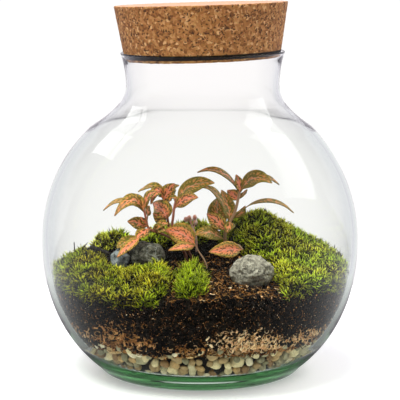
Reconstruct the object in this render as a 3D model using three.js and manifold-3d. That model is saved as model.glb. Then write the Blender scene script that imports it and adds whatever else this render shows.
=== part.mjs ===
// A glass plant terrarium: a round blown jar with a thick green base and a tilted cork stopper, filled from
// the bottom up with pebbles, coir fibre and potting soil, planted with two leafy nerve plants and moss.
// Millimetres, +Z up, origin at the middle of the jar's flat base. The front of the jar faces -Y.

import * as THREE from 'three';
import { mergeVertices } from 'three/addons/utils/BufferGeometryUtils.js';
import Module from 'manifold-3d';

const wasm = await Module();
wasm.setup();

// ---------------------------------------------------------------- driving dimensions, millimetres

const GAP = 0.3; // clearance that two touching pieces keep
const SPOKES = 36; // facets round the jar and round every layer that lies in it

const JAR_HEIGHT = 232;
const BELLY_RADIUS = 115.3;
const BELLY_LEVEL = 98; // height of the widest place
const LOWER_REACH = 115.5; // half height of the squarish lower bowl
const LOWER_POWER = 2.2; // 2 would be an ellipse, more is squarer
const UPPER_REACH = 114.5; // half height of the round shoulder
const FOOT_RADIUS = 63.3;
const FOOT_ROUNDING = 4;
const WALL = 3.7;
const FLOOR_THICKNESS = 10;
const NECK_RADIUS = 55.7;
const NECK_LEVEL = 208;
const NECK_FLARE = 1.9; // how much wider the neck is some way above and below its waist
const NECK_WALL = 2.2;
const RIM_RADIUS = 60.8;
const LIP = 1.8;
const HEEL = [[58, 10], [70, 12.3], [80, 17.3]]; // the blown floor thickens towards the wall: [radius, z]
const HEEL_LEVEL = 24; // where the heel has run into the wall
const NECK_LEAN = 1.9; // the hand-blown neck stands this far off the axis
const LEAN_FROM = 150; // height from which the shoulder leans
const RIM_SLOPE = 0.0115; // rise of the rim across its width

const CORK_TOP_RADIUS = 62.9;
const CORK_END_RADIUS = 56.4; // rests in the flare of the lip
const CORK_HEIGHT = 38.7;
const CORK_INSERTED = 2.7; // depth of the end below the rim
const CORK_BEVEL = 0.8;
const CORK_TILT = THREE.MathUtils.degToRad(1.9);

const GRAVEL_LEVEL = 31;
const PEBBLE_RADIUS = 6.2;
const CORE_INSET = 8.5; // how far the pebbles' core stays from the glass
const SOIL_LEVEL = 80;
const MOSS_CELL = 5; // pitch of the moss relief
const LEAF_THICKNESS = 0.7;
const SLIVER = 0.04; // edges shorter than this are closed up

// ---------------------------------------------------------------- materials

function finish(colour, roughness, metalness = 0) {
  return new THREE.MeshStandardMaterial({ color: colour, roughness, metalness, flatShading: true });
}

// ---------------------------------------------------------------- small mathematics

// A repeatable draw from 0 to 1 that depends only on a place and a seed.
function draw(x, y, seed = 0) {
  const wave = Math.sin(x * 12.9898 + y * 78.233 + seed * 37.719) * 43758.5453;
  return wave - Math.floor(wave);
}

function hill(x, y, centreX, centreY, spreadX, spreadY) {
  return Math.exp(-(((x - centreX) / spreadX) ** 2 + ((y - centreY) / spreadY) ** 2) / 2);
}

// Distance from a place to a closed outline, positive inside it.
function insideDistance(outline, x, y) {
  let nearest = Infinity;
  let inside = false;
  outline.forEach(([ax, ay], i) => {
    const [bx, by] = outline[(i + 1) % outline.length];
    const along = ((x - ax) * (bx - ax) + (y - ay) * (by - ay)) / ((bx - ax) ** 2 + (by - ay) ** 2);
    const t = Math.min(1, Math.max(0, along));
    nearest = Math.min(nearest, Math.hypot(x - ax - t * (bx - ax), y - ay - t * (by - ay)));
    if (ay > y !== by > y && x < ax + ((y - ay) / (by - ay)) * (bx - ax)) inside = !inside;
  });
  return inside ? nearest : -nearest;
}

// ---------------------------------------------------------------- solids and booleans

function solidOf(positions, triangles) {
  const mesh = new wasm.Mesh({
    numProp: 3,
    vertProperties: new Float32Array(positions),
    triVerts: new Uint32Array(triangles),
  });
  return new wasm.Manifold(mesh);
}

// A closed three.js geometry as a solid: shared vertices are merged and collapsed triangles dropped.
function solidFrom(geometry) {
  const bare = geometry.clone();
  bare.deleteAttribute('normal');
  bare.deleteAttribute('uv');
  const merged = mergeVertices(bare, 1e-4);
  const index = merged.index.array;
  const triangles = [];
  for (let i = 0; i < index.length; i += 3) {
    const [a, b, c] = [index[i], index[i + 1], index[i + 2]];
    if (a !== b && b !== c && c !== a) triangles.push(a, b, c);
  }
  return solidOf(merged.attributes.position.array, triangles);
}

function geometryFrom(solid) {
  const mesh = solid.getMesh();
  const geometry = new THREE.BufferGeometry();
  geometry.setAttribute('position', new THREE.BufferAttribute(new Float32Array(mesh.vertProperties), 3));
  geometry.setIndex(new THREE.BufferAttribute(new Uint32Array(mesh.triVerts), 1));
  geometry.computeVertexNormals();
  return geometry;
}

const join = (solids) => solids.reduce((whole, solid) => whole.add(solid));
const cut = (solid, cutters) => cutters.reduce((rest, cutter) => rest.subtract(cutter), solid);

// The largest body of a solid: loose scraps left by a cut are dropped.
function mainBody(solid) {
  const bodies = solid.decompose();
  return bodies.reduce((best, body) => (body.volume() > best.volume() ? body : best));
}

// ---------------------------------------------------------------- the jar

function bellyRadius(z, radius, lowerReach, upperReach) {
  const below = BELLY_LEVEL - z;
  if (below > 0) {
    return radius * (1 - (below / lowerReach) ** LOWER_POWER) ** (1 / LOWER_POWER);
  }
  return radius * Math.sqrt(1 - (below / upperReach) ** 2);
}

const outerBelly = (z) => bellyRadius(z, BELLY_RADIUS, LOWER_REACH, UPPER_REACH);
const innerBelly = (z) =>
  bellyRadius(z, BELLY_RADIUS - WALL, LOWER_REACH - WALL - 0.8, UPPER_REACH - WALL + 0.4);

const BELLY_LEVELS = [12, 28, 58, 98, 134, 163, 183, 194];

function outerProfile() {
  const belly = BELLY_LEVELS.map((z) => [outerBelly(z), z]);
  return [
    [0, 0],
    [FOOT_RADIUS, 0],
    [outerBelly(FOOT_ROUNDING), FOOT_ROUNDING],
    ...belly,
    [NECK_RADIUS + NECK_FLARE, NECK_LEVEL - 8],
    [NECK_RADIUS, NECK_LEVEL],
    [NECK_RADIUS + NECK_FLARE, JAR_HEIGHT - 7],
    [RIM_RADIUS, JAR_HEIGHT - 1],
    [RIM_RADIUS - 0.5, JAR_HEIGHT],
  ];
}

// The inside from the floor up to the lip. A thing that is to fit in it keeps a clearance all round, and may
// stand back from the wall by an inset.
function innerProfile(clearance, inset = 0) {
  const heel = HEEL.map(([r, z]) => [r - clearance - inset, z + clearance]);
  const levels = [HEEL_LEVEL, ...BELLY_LEVELS.filter((z) => z > HEEL_LEVEL)];
  return [
    [0, FLOOR_THICKNESS + clearance],
    ...heel,
    ...levels.map((z) => [innerBelly(z) - clearance - inset, z]),
    [NECK_RADIUS - NECK_WALL + 1.6 - clearance, NECK_LEVEL - 7],
    [NECK_RADIUS - NECK_WALL - clearance, NECK_LEVEL],
    [NECK_RADIUS - NECK_WALL + NECK_FLARE - clearance, JAR_HEIGHT - 8],
    [RIM_RADIUS - LIP - 2.0 - clearance, JAR_HEIGHT - 3.5],
    [RIM_RADIUS - LIP - clearance, JAR_HEIGHT - 0.8],
    [RIM_RADIUS - LIP + 0.5 - clearance, JAR_HEIGHT],
  ];
}

const lathe = (profile) =>
  new THREE.LatheGeometry(profile.map(([r, z]) => new THREE.Vector2(r, z)), SPOKES).rotateX(Math.PI / 2);

// The neck stands a little off the axis, and its rim slopes.
function leanNeck(point) {
  point[0] += NECK_LEAN * THREE.MathUtils.smoothstep(point[2], LEAN_FROM, NECK_LEVEL);
  point[2] += RIM_SLOPE * point[0] * THREE.MathUtils.smoothstep(point[2], NECK_LEVEL, JAR_HEIGHT);
}

function glassJar() {
  return solidFrom(lathe([...outerProfile(), ...innerProfile(0).reverse()])).warp(leanNeck);
}

// Everything that lies in the jar is trimmed to this space.
function insideSpace(clearance, inset = 0) {
  const profile = innerProfile(clearance, inset).filter(([, z]) => z < NECK_LEVEL - 10);
  return solidFrom(lathe([...profile, [0, profile.at(-1)[1]]]));
}

function corkStopper() {
  const profile = [
    [0, 0],
    [CORK_END_RADIUS - CORK_BEVEL, 0],
    [CORK_END_RADIUS, CORK_BEVEL],
    [(CORK_END_RADIUS + CORK_TOP_RADIUS) / 2, CORK_HEIGHT / 2],
    [CORK_TOP_RADIUS, CORK_HEIGHT - CORK_BEVEL],
    [CORK_TOP_RADIUS - CORK_BEVEL, CORK_HEIGHT],
    [0, CORK_HEIGHT],
  ];
  return lathe(profile);
}

// ---------------------------------------------------------------- surfaces of the layers

// Coir shows in three patches behind the glass: [azimuth from the front, half spread, height].
const COIR_PATCHES = [
  [20, 8, 14],
  [-41, 6, 12],
  [58, 12, 5],
];

function gravelTop(x, y) {
  return GRAVEL_LEVEL + 2.2 * Math.sin(x * 0.07 + 1) * Math.cos(y * 0.06);
}

function coirTop(x, y) {
  const azimuth = THREE.MathUtils.radToDeg(Math.atan2(x, -y));
  const nearGlass = Math.min(1, Math.hypot(x, y) / BELLY_RADIUS) ** 3;
  const patch = COIR_PATCHES.reduce(
    (sum, [middle, spread, height]) => sum + height * hill(azimuth, 0, middle, 0, spread, 1), 0);
  return gravelTop(x, y) + 2 + patch * nearGlass;
}

function soilTop(x, y) {
  const slope = 0.045 * y - 0.0012 * (x - 8) ** 2;
  const mounds =
    20 * hill(x, y, 47, 25, 20, 24) + // under the right moss
    8 * hill(x, y, -82, -8, 24, 24) + // under the left moss
    10 * hill(x, y, -66, 45, 20, 20) + // under the back tuft
    5 * hill(x, y, 5, 60, 30, 25) -
    7 * hill(x, y, -48, -90, 22, 18); // dip at the front glass
  return SOIL_LEVEL + slope + mounds;
}

const crumbs = (x, y) => 2.4 * (draw(x, y, 1) - 0.5);

const DEEP_RINGS = [40, 75, 95, 118];
const TOP_RINGS = [16, 32, 48, 62, 76, 90, 104, 118];

// A disc between two surfaces, wider than the jar, on rings and spokes; it is trimmed to the jar later.
function layer(bottom, top, bottomRings, topRings) {
  const positions = [];
  const triangles = [];
  const ringStart = [];
  const addPole = (surface) => positions.push(0, 0, surface(0, 0)) / 3 - 1;
  const addRing = (surface, radius) => {
    ringStart.push(positions.length / 3);
    for (let i = 0; i < SPOKES; i += 1) {
      const angle = (2 * Math.PI * i) / SPOKES;
      const x = radius * Math.cos(angle);
      const y = radius * Math.sin(angle);
      positions.push(x, y, surface(x, y));
    }
  };
  const bottomPole = addPole(bottom);
  bottomRings.forEach((radius) => addRing(bottom, radius));
  [...topRings].reverse().forEach((radius) => addRing(top, radius));
  const topPole = addPole(top);
  for (let i = 0; i < SPOKES; i += 1) {
    const next = (i + 1) % SPOKES;
    triangles.push(bottomPole, ringStart[0] + next, ringStart[0] + i);
    ringStart.slice(1).forEach((upper, k) => {
      const lower = ringStart[k];
      // Both surfaces are split along the same diagonals, so that two layers that meet stay parallel.
      if (k < bottomRings.length) {
        triangles.push(lower + i, lower + next, upper + next, lower + i, upper + next, upper + i);
      } else {
        triangles.push(lower + i, lower + next, upper + i, lower + next, upper + next, upper + i);
      }
    });
    triangles.push(ringStart.at(-1) + i, ringStart.at(-1) + next, topPole);
  }
  return solidOf(positions, triangles);
}

// ---------------------------------------------------------------- gravel, coir and soil

// A rounded pebble: an icosahedron whose corners are drawn in and out a little.
function pebble(x, y, z, radius, seed) {
  const shape = new THREE.IcosahedronGeometry(radius, 0);
  shape.scale(1, 0.85 + 0.15 * draw(seed, 2), 0.7 + 0.2 * draw(seed, 3));
  shape.rotateX(6 * draw(seed, 4));
  shape.rotateZ(6 * draw(seed, 5));
  shape.translate(x, y, z);
  return solidFrom(shape);
}

// Rows of pebbles against the glass: [share of the way up the layer, number in the row].
const PEBBLE_ROWS = [
  [0, 32],
  [0.75, 36],
];

// The radius of the inside at a height, heel and all.
function innerLimit(z) {
  const slope = [...HEEL, [innerBelly(HEEL_LEVEL), HEEL_LEVEL]];
  const above = slope.findIndex(([, level]) => level > z);
  if (above < 1) return z < FLOOR_THICKNESS ? HEEL[0][0] : innerBelly(z);
  const [[lowRadius, low], [highRadius, high]] = [slope[above - 1], slope[above]];
  return lowRadius + ((highRadius - lowRadius) * (z - low)) / (high - low);
}

// Pebbles stand half out of a core that fills the bowl.
function gravelLayer() {
  const core = layer(() => 0, gravelTop, [60, 118], DEEP_RINGS).intersect(insideSpace(GAP, CORE_INSET));
  const pebbles = [];
  PEBBLE_ROWS.forEach(([share, count], row) => {
    for (let i = 0; i < count; i += 1) {
      const seed = 100 * row + i;
      const angle = (2 * Math.PI * (i + 0.5 * row + 0.3 * draw(seed, 6))) / count;
      const radius = PEBBLE_RADIUS * (0.85 + 0.15 * draw(seed, 8));
      const [cosine, sine] = [Math.cos(angle), Math.sin(angle)];
      const top = gravelTop(80 * cosine, 80 * sine) - radius - 0.5;
      const bottom = FLOOR_THICKNESS + GAP + radius;
      const z = THREE.MathUtils.lerp(bottom, top, Math.min(1, share + 0.25 * draw(seed, 7)));
      const reach = innerLimit(z - radius * 0.75) - radius * 0.9;
      pebbles.push(pebble(reach * cosine, reach * sine, z, radius, seed));
    }
  });
  return mainBody(join([core, ...pebbles]).intersect(insideSpace(GAP)));
}

function coirLayer(space) {
  return mainBody(layer((x, y) => gravelTop(x, y) + GAP, coirTop, DEEP_RINGS, DEEP_RINGS).intersect(space));
}

function soilLayer(lift) {
  return layer(
    (x, y) => coirTop(x, y) + GAP,
    (x, y) => soilTop(x, y) + crumbs(x, y) + lift,
    DEEP_RINGS,
    TOP_RINGS,
  );
}

// ---------------------------------------------------------------- moss

// Each cushion: the outline on the plan, the rise of its shoots over the soil, their spikiness and colour.
const MOSSES = {
  moss_left: {
    outline: [[-112, 20], [-92, 18], [-78, 10], [-68, -4], [-65, -20], [-50, -23], [-38, -22], [-22, -20],
      [-19, -40], [-20, -60], [-20, -78], [-30, -108], [-80, -100], [-118, -50]],
    rise: (x, y) => 9 + 3.5 * hill(x, y, -84, -10, 20, 24) - 7 * hill(x, y, -55, -27, 12, 10),
    spike: 3.6,
    colour: '#75731d',
  },
  moss_bright: {
    outline: [[-17, -33], [0, -31], [6, -44], [8, -70], [4, -93], [-8, -102], [-18, -96], [-18.5, -60]],
    rise: () => 8.5,
    spike: 5,
    colour: '#8fa62a',
  },
  moss_back_left: {
    outline: [[-86, 34], [-72, 24], [-56, 26], [-49, 36], [-49, 52], [-60, 66], [-78, 66], [-92, 50]],
    rise: () => 12,
    spike: 4.2,
    colour: '#8a8e22',
  },
  moss_back_centre: {
    outline: [[-44, 36], [-24, 30], [-14, 34], [2, 36], [10, 42], [12, 60], [14, 84], [-10, 96], [-38, 88], [-46, 62]],
    rise: () => 9,
    spike: 3.8,
    colour: '#6a7428',
  },
  moss_right: {
    outline: [[19, 10], [31, -8], [40, -24], [50, -40], [53, -60], [54, -80], [62, -112], [118, -60],
      [122, 0], [108, 50], [86, 80], [52, 92], [26, 76], [14, 44], [14, 24]],
    rise: () => 12,
    spike: 3.8,
    colour: '#777b26',
  },
};

const EDGE_ROLL = 9; // how far in from its edge a cushion reaches its full rise

// A field of small points over the cushion's rounded form. Where the form dips under the soil it is cut away.
function mossCushion({ outline, rise, spike }, growth) {
  const xs = outline.map(([x]) => x);
  const ys = outline.map(([, y]) => y);
  const columns = Math.ceil((Math.max(...xs) - Math.min(...xs)) / MOSS_CELL) + 2;
  const rows = Math.ceil((Math.max(...ys) - Math.min(...ys)) / MOSS_CELL) + 2;
  const foot = 40;
  const positions = [];
  const triangles = [];
  const place = (i, j) => {
    const wander = MOSS_CELL * 0.5;
    const x = Math.min(...xs) + (i - 1) * MOSS_CELL + wander * (draw(i, j, 2) - 0.5);
    const y = Math.min(...ys) + (j - 1) * MOSS_CELL + wander * (draw(i, j, 3) - 0.5);
    return [x, y];
  };
  const height = (i, j) => {
    const [x, y] = place(i, j);
    const depth = Math.min(1, Math.max(-1, insideDistance(outline, x, y) / EDGE_ROLL));
    const rolled = depth > 0 ? 1 - (1 - depth) ** 2 : 2 * depth;
    const point = (i + j) % 2 === 0 ? spike * (0.6 + 0.6 * draw(i, j, 4)) : 0;
    return soilTop(x, y) - 3 + (rise(x, y) + 3) * rolled + point + growth;
  };
  for (let j = 0; j <= rows; j += 1) {
    for (let i = 0; i <= columns; i += 1) {
      positions.push(...place(i, j), height(i, j), ...place(i, j), foot);
    }
  }
  const top = (i, j) => 2 * (j * (columns + 1) + i);
  const under = (i, j) => top(i, j) + 1;
  for (let j = 0; j < rows; j += 1) {
    for (let i = 0; i < columns; i += 1) {
      const [a, b, c, d] = [[i, j], [i + 1, j], [i + 1, j + 1], [i, j + 1]];
      if ((i + j) % 2 === 0) {
        triangles.push(top(...a), top(...b), top(...c), top(...a), top(...c), top(...d));
      } else {
        triangles.push(top(...a), top(...b), top(...d), top(...b), top(...c), top(...d));
      }
      triangles.push(under(...a), under(...c), under(...b), under(...a), under(...d), under(...c));
    }
  }
  const wall = (a, b) => triangles.push(
    under(...a), under(...b), top(...b), under(...a), top(...b), top(...a));
  for (let i = 0; i < columns; i += 1) {
    wall([i, 0], [i + 1, 0]);
    wall([i + 1, rows], [i, rows]);
  }
  for (let j = 0; j < rows; j += 1) {
    wall([columns, j], [columns, j + 1]);
    wall([0, j + 1], [0, j]);
  }
  return solidOf(positions, triangles);
}

// ---------------------------------------------------------------- stones and twig

// [half length, half depth, half height], centre, turn about Z in degrees, roughness of the surface.
const STONES = {
  stone_round: { half: [15, 13, 11.8], centre: [35.8, -58, 83.2], turn: 8, bumps: 0.07, colour: '#82796a' },
  stone_slate: { half: [12.8, 9, 9.6], centre: [-38.2, -5, 85.6], turn: -6, bumps: 0.1, colour: '#4a4b48' },
  stone_slate_small: { half: [6.8, 6.5, 7], centre: [-58.8, -11, 84.5], turn: 20, bumps: 0.1, colour: '#6c7176' },
};

function stone({ half, centre, turn, bumps }, growth) {
  const shape = new THREE.IcosahedronGeometry(1, 2);
  const position = shape.attributes.position;
  const corner = new THREE.Vector3();
  for (let i = 0; i < position.count; i += 1) {
    corner.fromBufferAttribute(position, i);
    const wave = Math.sin(4.1 * corner.x + centre[0]) * Math.cos(3.7 * corner.y) * Math.sin(4.6 * corner.z + 1);
    const squareness = Math.max(Math.abs(corner.x), Math.abs(corner.y), Math.abs(corner.z));
    corner.multiplyScalar((1 + bumps * wave) * (1 - 0.12 * (squareness - 0.8)));
    position.setXYZ(i, ...half.map((size, axis) => corner.getComponent(axis) * (size + growth)));
  }
  shape.rotateZ(THREE.MathUtils.degToRad(turn));
  shape.translate(...centre);
  return solidFrom(shape);
}

// ---------------------------------------------------------------- stems and leaves

function roundSection(radius, sides) {
  const section = new THREE.Shape();
  for (let i = 0; i < sides; i += 1) {
    const angle = (2 * Math.PI * i) / sides;
    const x = radius * Math.cos(angle);
    const y = radius * Math.sin(angle);
    if (i === 0) section.moveTo(x, y);
    else section.lineTo(x, y);
  }
  section.closePath();
  return section;
}

function tube(points, radius, sides = 5) {
  const path = new THREE.CatmullRomCurve3(points.map((point) => new THREE.Vector3(...point)));
  const geometry = new THREE.ExtrudeGeometry(roundSection(radius, sides), {
    extrudePath: path,
    steps: points.length,
  });
  return solidFrom(geometry);
}

// A leaf blade: an arched midrib from base over middle to tip, and a pointed oval outline across it.
// turn is how far the blade is turned from facing the front to lying edge on, in degrees; stalk is the
// share of the midrib that is bare.
function leafBlade({ base, middle, tip, width, turn, stalk = 0.1 }, stations = 4) {
  const [start, over, end] = [base, middle, tip].map((point) => new THREE.Vector3(...point));
  const control = over.clone().multiplyScalar(2).addScaledVector(start, -0.5).addScaledVector(end, -0.5);
  const midrib = new THREE.QuadraticBezierCurve3(start, control, end);
  const hand = end.x >= start.x ? 1 : -1;
  const angle = THREE.MathUtils.degToRad(turn);
  const positions = [];
  for (let k = 0; k <= stations; k += 1) {
    const along = k / stations;
    const centre = midrib.getPoint(along);
    const tangent = midrib.getTangent(along);
    const facing = new THREE.Vector3(-tangent.z, 0, tangent.x).normalize().multiplyScalar(hand * Math.cos(angle));
    const across = facing.add(new THREE.Vector3(0, Math.sin(angle), 0));
    across.addScaledVector(tangent, -across.dot(tangent)).normalize();
    const upper = tangent.clone().cross(across).multiplyScalar(hand);
    const spread = Math.max(0, (along - stalk) / (1 - stalk));
    const half = 0.5 + (width / 2 - 0.3) * Math.sin(Math.PI * spread ** 0.85) ** 0.8;
    [-LEAF_THICKNESS / 2, LEAF_THICKNESS / 2].forEach((level) => {
      [-half, 0, half].forEach((offset) => {
        const lift = level + 0.16 * Math.abs(offset);
        positions.push(...centre.clone().addScaledVector(across, offset).addScaledVector(upper, lift).toArray());
      });
    });
  }
  const triangles = [];
  const face = (a, b, c, d) => triangles.push(a, b, c, a, c, d);
  for (let k = 0; k < stations; k += 1) {
    const near = 6 * k;
    const far = near + 6;
    face(near + 0, near + 1, far + 1, far + 0);
    face(near + 1, near + 2, far + 2, far + 1);
    face(near + 4, near + 3, far + 3, far + 4);
    face(near + 5, near + 4, far + 4, far + 5);
    face(near + 3, near + 0, far + 0, far + 3);
    face(near + 2, near + 5, far + 5, far + 2);
  }
  const last = 6 * stations;
  face(0, 3, 4, 1);
  face(1, 4, 5, 2);
  face(last + 1, last + 4, last + 3, last + 0);
  face(last + 2, last + 5, last + 4, last + 1);
  const blade = solidOf(positions, triangles);
  return blade.volume() > 0 ? blade : solidOf(positions, triangles.reverse());
}

function bud(centre, radius) {
  return solidFrom(new THREE.IcosahedronGeometry(radius, 0).translate(...centre));
}

const leaf = (base, middle, tip, width, turn, stalk) => ({ base, middle, tip, width, turn, stalk });

// Each leafy stem: its rooted path, its radius, its side stalks and its leaves.
const LEAFY_STEMS = {
  plant_left_outer_stem: {
    path: [[-10, 6, 72], [-10, 6, 80], [-12, 5, 86.5], [-18.5, 3, 95], [-29.5, 0, 101.5], [-37.5, 0, 105],
      [-39.5, 0, 112], [-41, 0, 118.5]],
    radius: 1.1,
    colour: '#b0603c',
    leaves: [
      leaf([-41, 0, 117], [-50, -6, 126.5], [-62, -12, 116], 11, 50),
      leaf([-41, 0, 117], [-56, 6, 125.5], [-71.5, 8, 117], 9, 72),
      leaf([-41, 0, 117.5], [-46.5, 6, 125], [-55, 10, 128], 10, 55),
      leaf([-41, 0, 117.5], [-38, -3, 128], [-31.5, -6, 133], 9, 58),
      leaf([-37.5, 0, 105.5], [-45.5, -5, 109.5], [-52.5, -9, 111.5], 9, 25),
      leaf([-37, 0, 105], [-42, -9, 102.5], [-47, -15, 99], 9, 55),
      leaf([-36, 0, 104.3], [-47, -18, 98.5], [-59.5, -27, 88.5], 8, 50, 0.4),
      leaf([-35, 0, 103.8], [-51, -8, 97.5], [-60.5, -14, 93], 9, 45, 0.3),
      leaf([-34.5, 0, 103.6], [-29, -7, 108.5], [-23, -11, 110], 8, 60),
      leaf([-33.5, 0, 103.3], [-30, -8, 106], [-24.5, -12, 104.5], 8, 30),
      leaf([-39, 0, 110.5], [-38, -3, 117], [-37, -7, 122.5], 6, 50, 0.3),
      leaf([-38.5, 0, 107.5], [-41.5, -3, 111], [-43.5, -5, 114], 4, 50),
    ],
  },
  plant_left_middle_stem: {
    path: [[-9.8, 13.8, 72], [-9.8, 13.8, 80], [-12, 12, 85.5], [-20, 10, 96], [-23, 8, 104.5], [-24, 6, 111.5],
      [-26, 7, 118], [-26.5, 8, 124]],
    radius: 1.1,
    colour: '#c46a48',
    leaves: [
      leaf([-26.5, 8, 123.5], [-31, 3, 132], [-36, -2, 123], 10, 50),
      leaf([-26.5, 8, 123.5], [-23.5, 7, 131], [-18.5, 6, 137], 10.5, 20),
      leaf([-26.5, 8, 123], [-32.5, 12, 134], [-46, 14, 130], 9, 70),
      leaf([-26.5, 8, 123], [-22, 13, 131.5], [-15.5, 16, 134.5], 7, 60),
      leaf([-26.3, 7.5, 121.5], [-22, 14, 127.5], [-18, 18, 131], 6, 60),
      leaf([-24, 6, 111], [-27, -4, 119.5], [-35.5, -12, 125.5], 13, 15),
      leaf([-23.4, 7.6, 106], [-29.5, 2, 111.5], [-34, -2, 116.5], 9, 35),
    ],
  },
  plant_left_inner_stem: {
    path: [[-5, 2, 72], [-5, 2, 79], [-7.5, 2, 85.5], [-14, 0, 95.5], [-20, -1, 105.5], [-19.5, -2, 114.5],
      [-18.5, -2, 122], [-17, -2, 127.5]],
    radius: 1.1,
    colour: '#8c7a3a',
    leaves: [
      leaf([-17.2, -2, 127], [-4.5, -5, 142], [10.5, -8, 141], 12, 50, 0.15),
      leaf([-18.8, -2, 119.5], [-11, -9, 127.5], [-1.5, -16, 130], 11, 45),
      leaf([-17.7, -2, 125], [-20, 0.5, 127.5], [-23.5, 2.5, 123.5], 6, 70),
    ],
  },
  plant_front_sprig: {
    path: [[5, -20.5, 71], [5, -20.5, 79.5], [3.5, -18.5, 84], [-1.5, -10, 90.5], [-3.5, -8, 94.5]],
    radius: 0.8,
    colour: '#d4664c',
    leaves: [
      leaf([-3.4, -8.1, 94], [-14, -16, 103.5], [-26, -24, 106.5], 15, 30, 0.05),
      leaf([-3.2, -8.3, 93.4], [-11.5, -16, 94], [-22.5, -24, 93], 8, 60),
    ],
  },
  plant_right: {
    path: [[20.5, 3.5, 76], [20.5, 3.5, 84], [19.5, 3, 89], [18.5, 1, 96], [19, 0, 103.5], [22, 0, 109.5],
      [25.5, 0, 117], [27.5, 0, 124.5], [29, 0, 132]],
    radius: 1.25,
    colour: '#a87a3c',
    stalks: [[[19.3, 2.8, 89.5], [27.5, -8, 94], [31, -14, 91.5]]],
    leaves: [
      leaf([28.8, 0, 131], [15.5, 4, 147], [-2, 8, 145.5], 9, 65),
      leaf([27.6, 0, 125], [24.5, -4, 129.5], [20.5, -7, 134], 8, 20),
      leaf([28.9, 0, 131], [28.5, 2, 137.5], [26.5, 4, 144], 7, 30),
      leaf([28.9, 0, 131], [39, -6, 146.5], [52, -12, 140.5], 12, 55),
      leaf([28.9, 0, 131], [43, 5, 145], [58.5, 9, 136], 8, 65),
      leaf([27.8, 0, 126.5], [31.5, 3, 129.5], [34.5, 5, 133], 4, 60),
      leaf([22.5, 0, 110.5], [45.5, 2, 125.5], [69, 3, 116], 8, 72, 0.3),
      leaf([23.5, 0, 112.5], [30, 4, 115.5], [33, 7, 120.5], 6, 50),
      leaf([21.8, 0, 109], [20.5, 4, 120], [16, 8, 132], 11, 30),
      leaf([19.3, 0, 104.5], [18, -5, 118.5], [12, -9, 130.5], 12, 20),
      leaf([19, 0, 103.5], [12.5, -10, 113], [5, -17, 118.5], 10, 25),
      leaf([21.6, 0, 108.5], [12.5, 9, 128.5], [0.5, 13, 133.5], 8, 68),
      leaf([22.3, 0, 110], [21.5, -6, 107.5], [19.5, -10, 103], 8, 30),
      leaf([31, -14, 91.5], [20, -22, 93], [6.5, -28, 92.5], 12, 25),
      leaf([18.6, 1.2, 95.5], [6.5, -8, 103], [-4, -12, 102], 11, 45),
    ],
  },
  bud_sprig: {
    path: [[-2.5, 27, 76], [-2.5, 27, 85.5], [-3, 26, 93.5], [-4.5, 25.5, 98.5], [-6.5, 25, 104], [-8, 25, 107]],
    radius: 0.8,
    colour: '#b5485a',
    leaves: [],
    stalks: [
      [[-7, 25, 104.7], [-8.5, 25, 106.5], [-10.5, 25, 107.5]],
      [[-7, 25, 104.7], [-5.5, 25, 107.5], [-4, 25, 109]],
      [[-5, 25.3, 100.5], [-4, 25, 103], [-3.5, 25, 105]],
    ],
    buds: [[-10.5, 25, 107.5], [-8, 25, 108.5], [-4, 25, 109], [-3.5, 25, 105]],
  },
};

const STALK_RADIUS = 0.7;
const BUD_RADIUS = 1.9;

function leafyStem({ path, radius, leaves, stalks = [], buds = [] }) {
  return join([
    tube(path, radius),
    ...stalks.map((points) => tube(points, STALK_RADIUS)),
    ...leaves.map((spec) => leafBlade(spec)),
    ...buds.map((centre) => bud(centre, BUD_RADIUS)),
  ]);
}

const HOLE_DEPTH = 20; // from the foot of a stem to well above the soil
const HOLE_FLARE = 3; // how much wider the hole is at its mouth, where the stem begins to lean

// The plain hole that a stem stands in: a little deeper than the stem and widening upwards.
function stemHole({ path, radius }) {
  const [[x, y, z]] = path;
  const clear = radius + GAP;
  const hole = new THREE.CylinderGeometry(clear + HOLE_FLARE, clear, HOLE_DEPTH, 8).rotateX(Math.PI / 2);
  return solidFrom(hole.translate(x, y, z - GAP + HOLE_DEPTH / 2));
}

// The groove that a twig lies in: as the twig, larger all round by a gap.
function grooveFor({ path, radius }) {
  const points = path.map((point) => new THREE.Vector3(...point));
  const [first, second] = points;
  const [last, previous] = [points.at(-1), points.at(-2)];
  const before = first.clone().add(first.clone().sub(second).setLength(GAP));
  const after = last.clone().add(last.clone().sub(previous).setLength(GAP));
  return tube([before, ...points.slice(1, -1), after].map((point) => point.toArray()), radius + GAP);
}

const TWIG = { path: [[-81, 3, 89.8], [-76, 1, 89.4], [-71, -1, 87.8], [-66, -3, 86.2]], radius: 1.7 };

// ---------------------------------------------------------------- assembly

const terrarium = new THREE.Group();

function addNode(name, geometry, material) {
  const mesh = new THREE.Mesh(geometry, material);
  mesh.name = name;
  terrarium.add(mesh);
  return mesh;
}

const addSolid = (name, solid, material) => addNode(name, geometryFrom(solid.simplify(SLIVER)), material);

addSolid('glass_jar', glassJar(), finish('#dcebe0', 0.05));

const cork = addNode('cork_stopper', corkStopper(), finish('#a16f44', 0.85));
const seat = new THREE.Group();
seat.position.set(NECK_LEAN, 0, JAR_HEIGHT - CORK_INSERTED);
seat.rotation.y = -CORK_TILT;
seat.add(cork);
terrarium.add(seat);

const space = insideSpace(GAP);
const stones = Object.values(STONES).map((spec) => stone(spec, GAP));
const holes = Object.values(LEAFY_STEMS).map(stemHole);
const groove = grooveFor(TWIG);

addSolid('gravel_layer', gravelLayer(), finish('#72644a', 0.8));
addSolid('coir_layer', coirLayer(space), finish('#b08d60', 0.95));
addSolid('soil', mainBody(cut(soilLayer(0).intersect(space), [...stones, ...holes])), finish('#26201a', 1));

Object.entries(STONES).forEach(([name, spec]) => addSolid(name, stone(spec, 0), finish(spec.colour, 0.85)));
addSolid('twig', tube(TWIG.path, TWIG.radius), finish('#1c1714', 0.8));

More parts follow.
